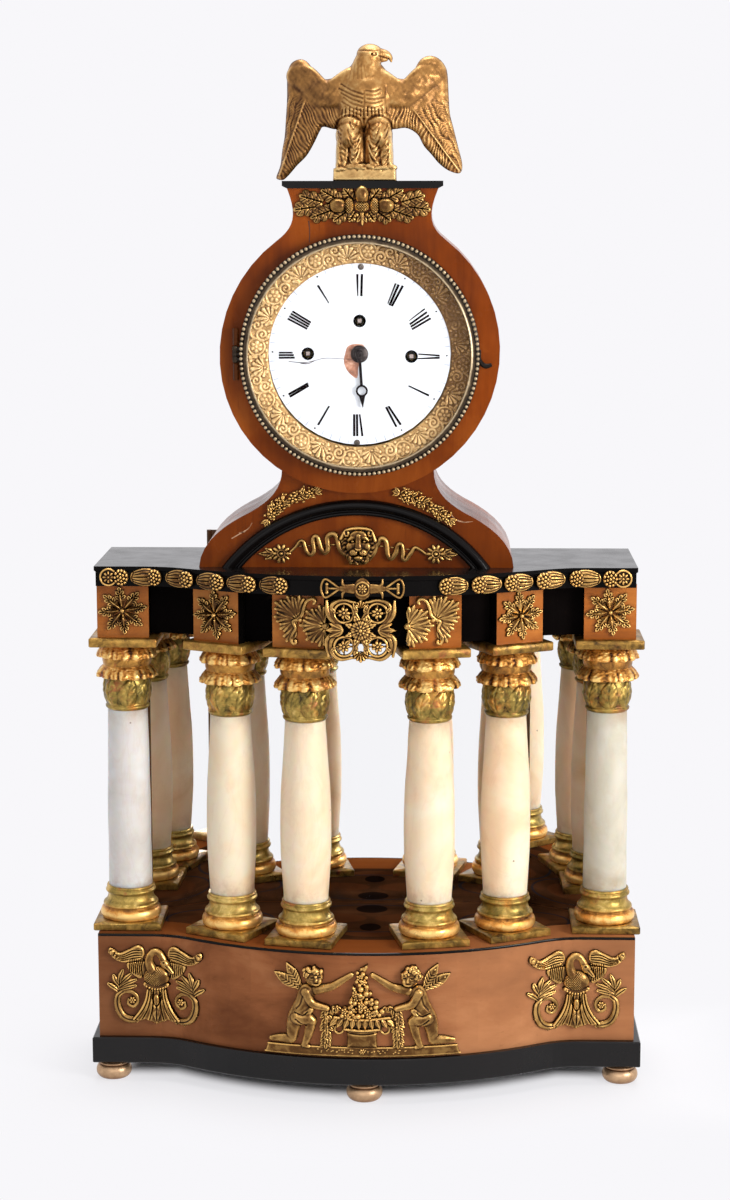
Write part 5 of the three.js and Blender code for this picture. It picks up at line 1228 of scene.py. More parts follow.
def lattice():
    """Pierced panel of four ringed flowers round a leafy star."""
    r = Relief(-20, 20, -18, 17, 0.24)
    for sx in (-1, 1):
        for y in (9.0, -8.8):
            x = 8.7 * sx
            r.ring(x, y, 5.1, 0.7, 1.2, 0.2)
            rosette(r, x, y, 3.1, 7, 1.0, 0.3)
            for turn in range(0, 360, 90):
                r.stroke([polar(x, y, 2.6, turn), polar(x, y, 4.8, turn)], 0.4)
            r.leaf(x - 3.2 * sx, y - 3.4 * np.sign(y), 225 if sx * y > 0 else 135, 4.4, 2.4, 1.1, 0, 0.4)
            r.leaf(x + 4.4 * sx, y, 90 * np.sign(y) - 40 * sx * np.sign(y), 4.6, 2.2, 1.1, 2, 0.5)
        r.stroke(flip(sx, [(3.2, 14.6), (9, 15.6), (14.6, 13.4), (14.8, 7), (10.6, 2)]),
                 [0.7, 1.0, 1.2, 1.3, 1.0])
        r.stroke(flip(sx, [(10.6, -1.6), (15, -5), (15.6, -11), (11, -15.4), (4, -14.6)]),
                 [1.0, 1.3, 1.2, 1.0, 0.7])
        r.stroke(flip(sx, [(17.6, 15.4), (16.8, 8.4), (12.4, 1.6)]), [0.6, 1.4, 1.1], 1.0, 0.3)
        r.stroke(flip(sx, [(13, -1), (17.6, -5.5), (16.8, -14)]), [1.1, 1.2, 0.7], 1.0, 0.2)
        for turn, long in ((-26, 8.6), (0, 10.0), (26, 8.6)):
            r.leaf(8.8 * sx, 0, flip_turn(sx, turn), long, 3.6, 1.3, 0, 0.5, -0.2)
        for y in (1, -1):
            r.stroke([(0.9 * sx, 5.6 * y), (2.8 * sx, 10 * y), (1.0 * sx, 14.6 * y)],
                     [0.9, 1.0, 0.7], 1.0, 0.2)
            r.leaf(1.6 * sx, 9.4 * y, flip_turn(sx, 64) * y, 5.2, 2.4, 1.1, 2, 0.4)
            r.scroll(3.4 * sx, 13.2 * y, 90 * y, 0.8 * sx * y, 1.7, 0.55, 0.3, 0.2)
    for k in range(8):
        a = 45 * k + 22.5
        r.leaf(*polar(0, 0, 0.6, a), a, 8.4, 4.0, 1.5, 3, 0.5, 0.3, 0.45)
        r.leaf(0, 0, a + 22.5, 5.6, 2.2, 1.2, 0, 0.7)
        r.dome(*polar(0, 0, 7.6, a), 1.1, 0.9, 1.3, a, 0.6)
    rosette(r, 0, 0, 2.8, 8, 1.0, 1.4)
    r.dome(0, 0, 1.1, 1.1, 1.2, 0, 2.0)
    fan(r, 0, -11.2, -90, 7, 66, 6.0, 0.75, 0.3)
    fan(r, 0, 11.4, 90, 5, 50, 4.6, 0.6, 0.3)
    mount(r, "frieze_lattice", serpentine(FRIEZE_OUT, -1.4, 257.6), rim=0.5, sink=0.6, contrast=0.7)


def star(k):
    """Eight ridged leaves with lobed ends round a bead, on a frieze block."""
    r = Relief(-14.4, 14.4, -14.4, 14.4, 0.22)
    dice = np.random.default_rng(40 + k)
    for n in range(8):
        a = 45 * n + 6 + dice.uniform(-3, 3)
        long = dice.uniform(12.9, 13.8)
        for share, turn, size in ((0.46, 56, 3.5), (0.6, 36, 3.7), (0.72, 0, 3.7)):
            root = polar(0, 0, share * long, a)
            for lean in (a - turn, a + turn) if turn else (a,):
                r.leaf(*root, lean, size, 2.4, 1.1, 0, 0.3, 0.45, belly=1.5)
                r.dome(*polar(*root, 0.82 * size, lean), 0.8, 0.75, 1.2, lean, 0.3)
                r.groove([root, polar(*root, 0.7 * size, lean)], 0.26, 0.5)
        r.kite(*polar(0, 0, 0.9, a), a, 0.7 * long, 4.4, 1.7, 0.5)
        r.groove([polar(0, 0, 0.6, a + 22.5), polar(0, 0, 5, a + 22.5)], 0.4, 1.2)
    r.dome(0, 0, 1.2, 1.2, 1.3, 0, 1.9)
    # Painted shade on the stars at the left, painted light on those at the right.
    mount(r, f"block_star_{k}", station(k)[1], rim=0.35, contrast=1.0, tint=-0.1 if k < 4 else 0.04)


def palmettes(k):
    """An acanthus leaf on two curling stems, and a fan that reaches for the pierced panel."""
    s = 1 if k == 3 else -1
    r = Relief(-17.4, 17.4, -15.2, 15.2, 0.22)
    root = (0.2, 0.6)
    leaf = ((86, 12.2), (115, 13.0), (145, 14.6), (176, 12.4), (210, 10.8), (243, 13.4))
    spread = ((-72, 11.2), (-36, 12.8), (0, 13.8), (36, 12.8), (72, 11.2))
    upper = [root, (2.7, 3.2), (3.7, 7.2), (5.6, 10.8), (8.4, 11.8), (9.7, 10.4), (9.0, 9.2)]
    lower = [root, (-2.2, -0.8), (-1.1, -4.2), (-2.7, -7.6), (-3.6, -9.8), (-2.4, -12.4),
             (-0.8, -12.0), (-1.0, -10.8)]
    acanthus(r, *flip(s, [root])[0], [(flip_turn(s, a), reach) for a, reach in leaf], (-9, 0, 9), 0.2)
    r.stroke(flip(s, upper), [1.0, 1.0, 0.9, 0.9, 1.0, 0.9, 0.8], 1.1, 1.1)
    r.stroke(flip(s, lower), [1.0, 1.0, 0.9, 0.9, 0.9, 1.0, 0.9, 0.8], 1.1, 1.1)
    r.dome(1.6 * s, 0.4, 1.2, 1.2, 1.2, 0, 1.4)
    acanthus(r, 15.4 * s, -2.6, [(flip_turn(s, 180 + a), reach) for a, reach in spread], (-10, 0, 10), 0.4)
    r.dome(15.2 * s, -2.6, 2.0, 1.8, 1.6, 0, 0.9)
    # Painted shade on the left palmettes, painted light on the right ones.
    mount(r, f"block_palmettes_{k}", station(k)[1], rim=0.35, contrast=0.7, tint=-0.04 if k == 3 else 0.06)


def swan_mount(name, x0, z0):
    """A swan with raised wings over a bell of folded leaf, between two scrolls with flowers and sprays."""
    r = Relief(-28.5, 29.5, -23.8, 23, 0.25)
    c = 0.4
    upper = [(6.4, 16.5), (7.4, 20.6), (10.6, 21.8), (15.4, 19.6), (20.4, 17.6), (23.4, 19.6), (25.8, 20.4),
             (26.4, 17.6), (23.6, 14.0), (19.2, 12.0), (14.6, 11.8), (9.4, 13.2)]
    lower = [(9.6, 14.4), (14.6, 13.4), (16.8, 10.6), (15.2, 6.8), (11.6, 3.6), (8.4, 3.0),
             (5.2, 8.6), (6.6, 13.0)]
    skirt = [(5.4, -2.6), (6.4, -8.0), (8.0, -12.6), (10.4, -16.8), (13.6, -19.4), (11.0, -21.6),
             (6.6, -20.4), (3.4, -21.6)]
    fingers = (((21.0, -4.0), (17.0, -2.6), (11.8, -1.4)), ((20.9, -2.6), (16.4, 0.2), (11.6, 2.0)),
               ((20.7, -0.8), (17.6, 2.4), (14.4, 5.2)), ((20.8, -1.6), (20.4, 3.0), (18.8, 7.2)),
               ((20.9, -1.4), (22.8, 1.8), (23.8, 4.4)), ((21.4, -4.6), (24.0, -2.2), (26.8, -0.4)))
    for s in (-1, 1):
        r.polygon(flip(s, loop(lower), c), 1.4, 1.0)
        r.polygon(flip(s, loop(upper), c), 1.9, 1.2, 0.2)
        r.dome(c + s * 24.8, 17.8, 1.7, 1.7, 1.5, 0, 1.2)
        r.groove(flip(s, [(22.6, 18.2), (23.8, 15.8), (25.6, 16.2), (25.8, 18.4), (24.4, 19.2)], c), 0.3, 0.7)
        for k in range(4):
            r.groove(flip(s, [(8.0, 18.8 - 1.2 * k), (12.8, 19.0 - 1.5 * k), (18.4, 16.4 - 1.0 * k),
                              (22.4, 16.4 - 0.8 * k)], c), 0.28, 0.8)
        for k in range(7):
            r.groove(flip(s, [(7.4 + 1.2 * k, 13.6), (8.4 + 1.1 * k, 9.6 - 0.3 * k),
                              (8.0 + 1.2 * k, 4.0 + 0.5 * k)], c), 0.3, 0.8)
        r.groove(flip(s, [(6.4, 12.8), (11.0, 12.6), (16.0, 12.0)], c), 0.35, 0.9)
        stem = flip(s, [(9.6, -19.4), (14.4, -20.6), (19.2, -18.4), (21.8, -12.8), (21.6, -7.4), (18.8, -4.8),
                        (14.4, -4.8), (11.4, -7.4), (11.0, -10.8), (13.2, -13.2), (16.0, -11.8),
                        (15.8, -9.2)], c)
        r.stroke(stem, [1.6, 2.1, 2.2, 2.0, 1.7, 1.3, 1.1, 1.1, 1.0, 0.9, 0.8, 0.7], 0.85, 0.3)
        r.groove(stem[:6], 0.4, 0.6)
        rosette(r, c + s * 13.7, -9.4, 2.0, 6, 1.0, 0.8)
        for finger in fingers:
            r.stroke(flip(s, finger, c), [0.7, 1.3, 1.5, 0.8], 0.8, 0.5)
        for finger in fingers:
            r.groove(flip(s, finger, c), 0.28, 0.7)
        for x, y, turn in ((11.4, -19.6, -72), (14.8, -20.2, -58), (18.0, -18.8, -36), (20.6, -15.6, -14)):
            r.leaf(c + s * (x - 1.2), y + 1.0, flip_turn(s, turn), 4.2, 2.6, 1.1, 0, 0.5)
    bell = flip(1, skirt, c) + [(c, -23.0)] + flip(-1, skirt, c)[::-1]
    r.polygon(bell, 2.2, 1.6, 0.4)
    for s in (-1, 1):
        for x, spread in ((1.7, 2.6), (3.1, 5.4), (4.4, 7.8)):
            fold = [(x, -3.4), (x + 0.14 * spread, -9.0), (x + 0.46 * spread, -14.5), (x + spread, -20.0)]
            r.groove(flip(s, fold, c), 0.42, 1.2)
            r.stroke(flip(s, fold, c + 0.75 * s), [0.5, 0.6, 0.7, 0.6], 0.7, 2.2)
    r.leaf(c, -4.4, -90, 18.2, 4.8, 1.4, 3, 2.2, 0.5, 0.3, belly=1.3)
    r.dome(c, -8.0, 1.5, 2.6, 1.2, 0, 2.8)
    r.groove([(c - 2.2, -4.6), (c - 2.5, -8.4), (c, -12.2), (c + 2.5, -8.4), (c + 2.2, -4.6)], 0.4, 1.1)
    r.dome(c, 4.2, 7.3, 6.0, 3.8, 0, 0.8)
    r.stroke([(c - 6.4, 0.0), (c, -1.6), (c + 6.4, 0.0)], [1.2, 1.2, 1.2], 1.0, 1.8)
    for k in range(8):
        r.dome(c - 5.6 + 1.6 * k, -2.6 + 0.14 * (k - 3.5) ** 2, 0.7, 0.9, 1.1, 0, 2.4)
    breast = (np.hypot((r.u - c) / 6.8, (r.v - 4.6) / 5.2) < 0.98) * fade(c + 5 - r.u, 0, 5)
    r.height += breast * scales(r)
    r.stroke([(c - 2.4, 7.8), (c - 4.0, 12.0), (c - 3.6, 16.0), (c - 1.2, 18.4), (c + 1.8, 17.6),
              (c + 4.0, 14.2)], [3.0, 2.4, 2.0, 1.9, 1.9, 2.1], 1.0, 1.4)
    r.dome(c + 5.0, 12.0, 3.3, 2.4, 2.4, -52, 1.8)
    r.stroke([(c + 6.4, 10.4), (c + 9.4, 7.0)], [1.7, 0.8], 1.1, 1.6)
    r.groove([(c + 6.2, 11.0), (c + 9.0, 7.4)], 0.3, 0.6)
    r.groove([(c + 4.6, 12.8), (c + 5.0, 12.9)], 0.45, 0.9)
    # Painted shade: the left swan is darkened a little.
    mount(r, name, serpentine(0, x0, z0), rim=0.4, contrast=0.9, tint=-0.03 if x0 < 0 else 0.0)


def putti_mount():
    """Two kneeling winged children who dress a vase of fruit, on a ground strip."""
    r = Relief(-53, 53, 0, 55, 0.26)
    dice = np.random.default_rng(11)
    for s in (-1, 1):
        for turn, long, wide in ((32, 18.2, 6.0), (60, 17.6, 5.6)):
            a = math.radians(turn)
            ahead = np.array([math.cos(a), math.sin(a)])
            across = np.array([-ahead[1], ahead[0]])
            low = np.array([31.6, 36.8])
            r.leaf(s * low[0], low[1], flip_turn(s, turn), long, wide, 1.3, 0, 0.5, 0.2, belly=1.15)
            eye = low + 0.78 * long * ahead
            r.ring(s * eye[0], eye[1], 1.1, 0.35, 1.0, 1.3)
            r.dome(s * eye[0], eye[1], 0.6, 0.6, 0.8, 0, 1.4)
            for k in range(5):
                base = low + ahead * long * (0.16 + 0.1 * k)
                for side in (-1, 1):
                    r.groove(flip(s, [base, base + side * across * 0.4 * wide + ahead * 1.8]), 0.25, 0.5)
        r.stroke(flip(s, [(29.4, 36.2), (31.4, 30), (34.4, 23.4)]), [4.6, 4.5, 4.8], 0.75, 0.4)
        r.stroke(flip(s, [(35.4, 22), (37, 16), (37.6, 10)]), [4.4, 3.6, 2.7], 0.8, 0.3)
        r.stroke(flip(s, [(38, 9.6), (44, 9.4), (48.6, 8.8)]), [2.7, 2.2, 1.4], 0.8, 0.3)
        r.stroke(flip(s, [(34.2, 22), (29.6, 21.4), (27.2, 20.2)]), [4.4, 3.8, 3.1], 0.9, 1.0)
        r.stroke(flip(s, [(27.2, 20), (28.4, 13.6), (30.6, 7)]), [3.0, 2.4, 1.7], 0.95, 0.8)
        r.stroke(flip(s, [(31, 6.6), (28.6, 5.8)]), [1.6, 1.2], 1.0, 0.7)
        r.stroke(flip(s, [(24.6, 37.6), (16.4, 39.6), (11.4, 42.6), (5.6, 46.4)]),
                 [2.7, 2.2, 1.9, 1.4], 0.95, 0.6)
        r.stroke(flip(s, [(29.6, 36.4), (26.4, 30.4), (18.4, 28.0)]), [2.8, 2.2, 1.5], 1.0, 2.1)
        r.stroke(flip(s, [(27.0, 26.6), (30, 24.6), (34.6, 26.6), (37.4, 24)]),
                 [1.5, 2.2, 1.9, 1.2], 0.8, 1.9)
        r.groove(flip(s, [(28.6, 25.6), (31, 23.8), (35.4, 25.2)]), 0.35, 0.7)
        r.groove(flip(s, [(31.2, 34), (32.4, 30), (34.4, 27.4)]), 0.5, 0.5)
        r.groove(flip(s, [(34.6, 21.6), (31.4, 18.6), (29.6, 18.2)]), 0.5, 0.8)
        face_x, face_y = s * 25.4, 45.0
        r.dome(face_x, face_y, 4.9, 5.4, 3.8, 0, 0.9)
        r.dome(face_x - 1.2 * s, face_y - 1.8, 3.2, 2.8, 1.0, 0, 3.4)
        for k in range(34):
            a = math.radians(dice.uniform(-40, 200))
            reach = dice.uniform(0.45, 1.0)
            x = face_x + s * 0.8 + 5.0 * reach * math.cos(a)
            y = face_y + 1.4 + 4.4 * reach * math.sin(a)
            if (x - face_x) * s < -1.4 and y < face_y + 1.6:
                continue
            size = dice.uniform(0.9, 1.6)
            r.dome(x, y, size, 0.8 * size, 1.4, dice.uniform(0, 180), 4.4 - 2.6 * reach**2)
        r.stroke([(face_x - 1.2 * s, face_y + 0.4), (face_x - 1.6 * s, face_y - 1.4)], [0.5, 0.9], 0.9, 4.3)
        for e in (-1, 1):
            r.groove([(face_x - 1.3 * s + 1.3 * e, face_y + 0.2),
                      (face_x - 1.3 * s + 2.2 * e, face_y + 0.1)], 0.4, 0.7)
            r.dome(face_x - 1.3 * s + 1.9 * e, face_y - 1.7, 1.2, 1.0, 0.7, 0, 3.9)
        r.groove([(face_x - 2.3 * s, face_y - 3.1), (face_x - 0.4 * s, face_y - 3.0)], 0.35, 0.7)
        for k in range(11):
            x = np.interp(k, [0, 2, 10], [13.6, 18.6, 19.2])
            y = np.interp(k, [0, 2, 10], [29, 26.6, 8.6])
            size = 4.6 - 0.9 * abs(k - 5) / 5
            for side in (-1, 0, 1):
                turn = -90 + 46 * side + dice.uniform(-12, 12)
                r.leaf(s * (x + 0.5 * side), y + dice.uniform(-0.4, 0.4), flip_turn(s, turn), size, 2.3, 1.3,
                       0, 0.5 + 0.5 * (side == 0), 0.5)
            r.dome(s * (x + dice.uniform(-1.2, 1.2)), y, 0.8, 0.8, 1.2, 0, 1.3)
        r.ring(s * 12.3, 16.0, 2.3, 0.6, 1.1, 0.2)
        for k in range(5):
            turn = -90 + 11 * k
            r.leaf(s * (1.6 + 2.9 * k), 22.2, flip_turn(s, turn), 5.8, 3.0, 1.4, 0, 1.5, -0.3)
    r.polygon([(-14.2, 22.6), (14.2, 22.6), (12.6, 19.2), (9.2, 16.2), (-9.2, 16.2), (-12.6, 19.2)], 1.6, 1.4)
    r.polygon([(-8.8, 16.6), (8.8, 16.6), (7.8, 12), (8.2, 6), (-8.2, 6), (-7.8, 12)], 2.6, 4.0)
    r.stroke([(-14.4, 22.8), (0, 21.6), (14.4, 22.8)], 0.9, 1.0, 1.7)
    r.stroke([(-9.2, 16.6), (0, 15.8), (9.2, 16.6)], 0.7, 1.0, 2.2)
    r.groove([(-8, 14.6), (0, 13.8), (8, 14.6)], 0.35, 0.6)
    for row, (y, wide) in enumerate(((24.2, 11.6), (26.2, 11.4), (28.6, 9.6), (31.2, 8.2), (33.6, 6.8),
                                     (36, 5.4), (38.4, 4.2), (40.8, 3.4), (43.2, 3.0), (45.6, 3.6),
                                     (47.8, 3.4), (50, 1.8))):
        count = max(int(wide / 1.3), 2)
        for k in range(count):
            x = (2 * (k + 0.5 * (row % 2) + 0.25) / count - 1) * wide + dice.uniform(-0.5, 0.5)
            level = y + dice.uniform(-0.6, 0.6)
            size = dice.uniform(0.9, 1.7)
            if (row + k) % 4 == 1:
                rosette(r, x, level, 1.9, 5, 1.2, dice.uniform(1.4, 2.4))
            else:
                r.dome(x, level, size, size, 1.2 * size, 0, dice.uniform(0.8, 2.2))
            if (row + k) % 3 == 0:
                r.leaf(x, level, dice.uniform(20, 160) if row > 6 else dice.uniform(-20, 200), 3.4,
                       1.8, 1.0, 2, 2.2)
    r.polygon([(-52.4, 0.6), (52.4, 0.6), (50.6, 6.4), (-50.6, 6.4)], 1.1, 1.0)
    r.stroke([(-50.4, 5.8), (50.4, 5.8)], 0.55, 1.0, 0.7)
    r.stroke([(-52, 1.4), (52, 1.4)], 0.6, 1.0, 0.6)
    rosette(r, 0, 3.8, 1.7, 6, 0.9, 0.9)
    for k in range(40):
        x = dice.uniform(-24, 24)
        r.dome(x, dice.uniform(2.6, 5), dice.uniform(0.4, 0.8), 0.5, 0.6, 0, 0.9)
    mount(r, "putti_mount", serpentine(0, -1.0, 24.9), rim=0.4, contrast=0.9)


neck_mount()
lion_mount()
spray_mount("spray_left", [(-51, 311.6), (-46.4, 318.6), (-38, 323.4), (-26.4, 326.6)], 3)
spray_mount("spray_right", [(18.4, 326), (27, 323.2), (36, 318.2), (44.4, 312)], 4)
cornice_mounts()
anthemion()
lattice()
for number in (1, 2, 5, 6):
    star(number)
palmettes(3)
palmettes(4)
swan_mount("swan_left", -114.6, 55.2)
swan_mount("swan_right", 114.2, 54.6)
putti_mount()


# Bezel, pressed surround and dial furniture


def hoop(x, z, radius, y):
    """Points and faces of a ring about an axis along y, from a closed profile that may change round it."""
    rows, sides = radius.shape
    a = angles(sides)
    points = np.stack([x + radius * np.sin(a), np.broadcast_to(y, radius.shape), z + radius * np.cos(a)], -1)
    index = np.arange(rows * sides).reshape(rows, sides)
    over = np.roll(index, -1, 1)
    quads = np.stack([index, over, np.roll(over, -1, 0), np.roll(index, -1, 0)], -1)
    return points.reshape(-1, 3), quads.reshape(-1, 4), np.zeros((0, 3), int)


def band(x, z, profile, sides):
    """A ring about an axis along y, with one profile of radius and y all round."""
    profile = np.array(profile)
    return hoop(x, z, np.repeat(profile[:, :1], sides, 1), profile[:, 1:])


def boss(x, y, z, profile, sides=40):
    """A turned knob that stands out from a front: radius and height in pairs."""
    a = angles(sides)
    rings = []
    for r, h in profile:
        rings.append(np.stack([x + r * np.sin(a), np.full(sides, y - h), z + r * np.cos(a)], -1))
    return loft(rings)


def unit(vectors):
    return vectors / np.linalg.norm(vectors, axis=1)[:, None]


def tube(path, radii):
    """A round bar along a bent line."""
    line = curve(path, 6)
    ahead = unit(np.gradient(line, axis=0))
    across = unit(np.cross(ahead, [0.12, 1.0, 0.08]))
    upward = np.cross(across, ahead)
    a = angles(TUBE_SIDES)
    ring = across[:, None] * np.cos(a)[None, :, None] + upward[:, None] * np.sin(a)[None, :, None]
    return loft(line[:, None] + spaced(radii, len(line))[:, None, None] * ring)


TUBE_SIDES = 14
BEZEL_SIDES = 360
BEAD_RING, BEAD_RADIUS, BEADS, BEAD_SIDES, BEAD_Y = 61.45, 1.05, 150, 12, -31.6
RING_Z = 398.6
HINGE_X, HINGE_Y, HINGE_HALF, HINGE_END = -67.1, -29.5, 4.4, (-64.2, -29.4)
PANE_Y = -29.35


def bezel():
    """Beaded ring with a narrow flange, a hinge knuckle at the left and a hook at the right."""
    profile = [(57.9, -31.2), (57.8, -31.9), (58.05, -32.2), (58.4, -32.2), (58.7, -31.85), (59.5, -31.6),
               (60.2, -31.7), (60.5, -31.4), (60.8, -30.9), (61.4, -30.6), (62.2, -30.6), (62.55, -30.2),
               (62.5, -28.05), (58.45, -28.05), (58.4, -31.1)]
    worn_and_shaded = [0.6, 0.75, 0.9, 0.8, 0.6, 0.4, 0.35, 0.2, 0.05, 0.0, 0.1, 0.3, 0.3, 0.3, 0.3]
    parts = [(band(DIAL_X, RING_Z, profile, BEZEL_SIDES), (np.repeat(worn_and_shaded, BEZEL_SIDES),))]
    turn = np.linspace(-1.45, 1.45, 7)
    ball = np.stack([BEAD_RADIUS * np.cos(turn), BEAD_RADIUS * np.sin(turn)], -1)
    shine = np.repeat(np.clip(0.46 + 0.4 * np.sin(turn), 0, 1), BEAD_SIDES)
    for a in angles(BEADS):
        place = DIAL_X + BEAD_RING * math.sin(a), BEAD_Y, RING_Z + BEAD_RING * math.cos(a)
        parts.append((boss(*place, ball, BEAD_SIDES), (shine,)))
    z = DIAL_Z + HINGE_HALF * np.array([-1, -0.96, -0.9, -0.3, -0.25, -0.2, 0.2, 0.25, 0.3, 0.9, 0.96, 1])
    r = [1.0, 1.35, 1.5, 1.5, 1.3, 1.5, 1.5, 1.3, 1.5, 1.5, 1.35, 1.0]
    parts.append((loft(turned((HINGE_X, HINGE_Y), z, r, 20)), (0.36,)))
    for level in (DIAL_Z - 2.6, DIAL_Z, DIAL_Z + 2.6):
        parts.append((tube([(HINGE_X, HINGE_Y, level), (*HINGE_END, level)], [1.1, 1.1]), (0.15,)))
    hook = [(59.4, -29.4, 397.6), (61.0, -29.6, 394.6), (63.4, -29.6, 393.4), (66.2, -29.6, 394.2)]
    parts.append((tube(hook, [1.0, 1.3, 1.4, 0.9]), (0.1,)))
    parts.append((tube([(60.0, -30.2, 396.8), (60.2, -30.6, 401.8)], [0.5, 0.4]), (0.3,)))
    solid, (wear,) = together(*parts)
    build("beaded_bezel", solid, BEADED, body="bezel_door", slot="gilt_brass", stands_for=["bezel"], sharp=50,
          wear=wear)
    lens = [(0.5, 1.1), (10, 1.05), (24, 0.9), (38, 0.6), (50, 0.25), (57.6, -0.1), (58.25, 0.0),
            (57.6, 0.95), (50, 1.25), (38, 1.6), (24, 1.9), (10, 2.05), (0.5, 2.1)]
    build("domed_pane", boss(DIAL_X, PANE_Y, RING_Z, lens, 96), PANE, body="bezel_door", slot="glass",
          stands_for=["bezel_glass"], sharp=40)


SURROUND_INNER, SURROUND_MEAN, SURROUND_WIDE = 47.6, 53.5, 12.4
FOIL_FRONT = -29.05
REPEATS, COLUMNS = 12, 94
SPRIGS = ((8.4, 2.2, -24, 4.8), (12.4, 10.6, 24, 4.2), (16.8, 3.4, -34, 4.6), (18.4, 10.8, 150, 3.6),
          (17.4, 3.6, 40, 3.6), (24.8, 3.0, 20, 4.4), (24.6, 9.4, -8, 4.6), (27.0, 5.8, 70, 3.6),
          (1.2, 2.0, 160, 3.6), (1.4, 10.8, 200, 3.8), (9.0, 11.2, 160, 3.4), (20.6, 11.6, 10, 3.4))
BERRIES = ((7.2, 1.2), (13.8, 1.4), (18.6, 1.2), (25.4, 1.0), (3.0, 1.0), (7.6, 11.4),
           (16.6, 11.6), (26.4, 11.6))


def surround():
    """Pressed foil ring: flowers, scrolls, shells and sprigs on a dish that slopes in to the dial."""
    span = 2 * math.pi * SURROUND_MEAN / REPEATS
    r = Relief(0, span, 0, SURROUND_WIDE, span / COLUMNS)
    for x in (-span, 0, span):
        r.dome(x + 4.6, 6.3, 4.0, 4.0, 0.3)
        r.ring(x + 4.6, 6.3, 4.2, 0.55, 1.0, 0.15)
        rosette(r, x + 4.6, 6.3, 3.2, 6, 0.8, 0.25)
        r.scroll(x + 11.4, 4.2, 200, -1.5, 3.2, 0.8, 0.12, 0.1)
        stem = [(8.4, 4.6), (9.4, 9.2), (12.4, 11), (15, 10.8)]
        r.stroke(flip(1, stem, x), [0.5, 0.75, 0.8, 0.6], 1.0, 0.1)
        r.scroll(x + 15.6, 7.9, 60, -1.5, 3.1, 0.8, 0.12, 0.1)
        fan(r, x + 21.4, 2.2, 90, 7, 72, 7.8, 0.6, 0.15)
        for lx, ly, turn, long in SPRIGS:
            r.leaf(x + lx, ly, turn, long, 2.1, 0.9, 2, 0.1)
        for lx, ly in BERRIES:
            r.dome(x + lx, ly, 0.8, 0.8, 0.8)
    relief = np.tile(r.height[:, :COLUMNS], (1, REPEATS))
    sides = relief.shape[1]
    a = angles(sides)
    relief = soften(relief, 1) * (0.92 + 0.14 * np.sin(3 * a + 1) * np.sin(7 * a))
    across = SURROUND_INNER + r.v[:, :1]
    dish = np.interp(across, [47.6, 48.2, 49.2, 57.6, 59.0, 60.0], [-25.8, -26.2, -26.3, -28.3, -28.7, -28.7])
    border = fade(across, 47.9, 48.8) * (1 - fade(across, 58.8, 59.6))
    front = np.maximum(dish - 0.8 * relief * border, FOIL_FRONT)
    back = np.array([(60.0, -26.15), (56.5, -26.15), (56.4, -25.2), (56.2, -24.0), (47.6, -23.9)])
    radius = np.repeat(np.concatenate([across, back[:, :1]]), sides, 1)
    y = np.concatenate([front, np.repeat(back[:, 1:], sides, 1)])
    # Painted shadow of the bezel over the right side of the dish, deepest at the upper right.
    bezel_shadow = 0.3 * fade(np.cos(a - math.radians(70)), 0.3, 0.95)
    worn_and_shaded = np.clip(0.5 - bezel_shadow + (relief - soften(relief, 7)) / 1.1, 0, 1)
    worn_and_shaded = np.concatenate([worn_and_shaded, np.full((len(back), sides), 0.3)])
    build("pressed_surround", hoop(DIAL_X, RING_Z, radius, y), PRESSED, slot="gilt_brass",
          stands_for=["dial_surround"], wear=worn_and_shaded.ravel())


def on_dial():
    """A mapping from the dial's own x and z onto its domed front, or across its holes."""
    mesh = NODES["dial"].data
    tree = BVHTree.FromPolygons([v.co for v in mesh.vertices], [list(p.vertices) for p in mesh.polygons])

    def drop(x, z):
        hit = tree.ray_cast(Vector((x * MM, -1, z * MM)), Vector((0, 1, 0)))[0]
        return hit.y / MM if hit and hit.y / MM < DIAL_DEEPEST else DIAL_FRONT

    def mapped(u, v, h):
        y = np.vectorize(drop)(u + DIAL_X, v + DIAL_Z)
        return np.stack([u + DIAL_X, y - h, v + DIAL_Z], -1)
    return mapped


def ribbons(name, mapped, lines, material, thick, slot):
    """Flat strips laid on a face: each line has points, then its width at the start and at the end."""
    solids = []
    for points, first, last in lines:
        line = curve(points, 6)
        ahead = unit(np.gradient(line, axis=0))
        side = np.stack([-ahead[:, 1], ahead[:, 0]], -1) * np.linspace(first, last, len(line))[:, None] / 2
        left, right = line + side, line - side
        rings = []
        for edge, level in ((left, thick), (right, thick), (right, -RIBBON_SINK), (left, -RIBBON_SINK)):
            rings.append(mapped(edge[:, 0], edge[:, 1], np.full(len(edge), level)))
        solids.append((loft(np.stack(rings, 1)), ()))
    build(name, together(*solids)[0], material, sharp=30, slot=slot)


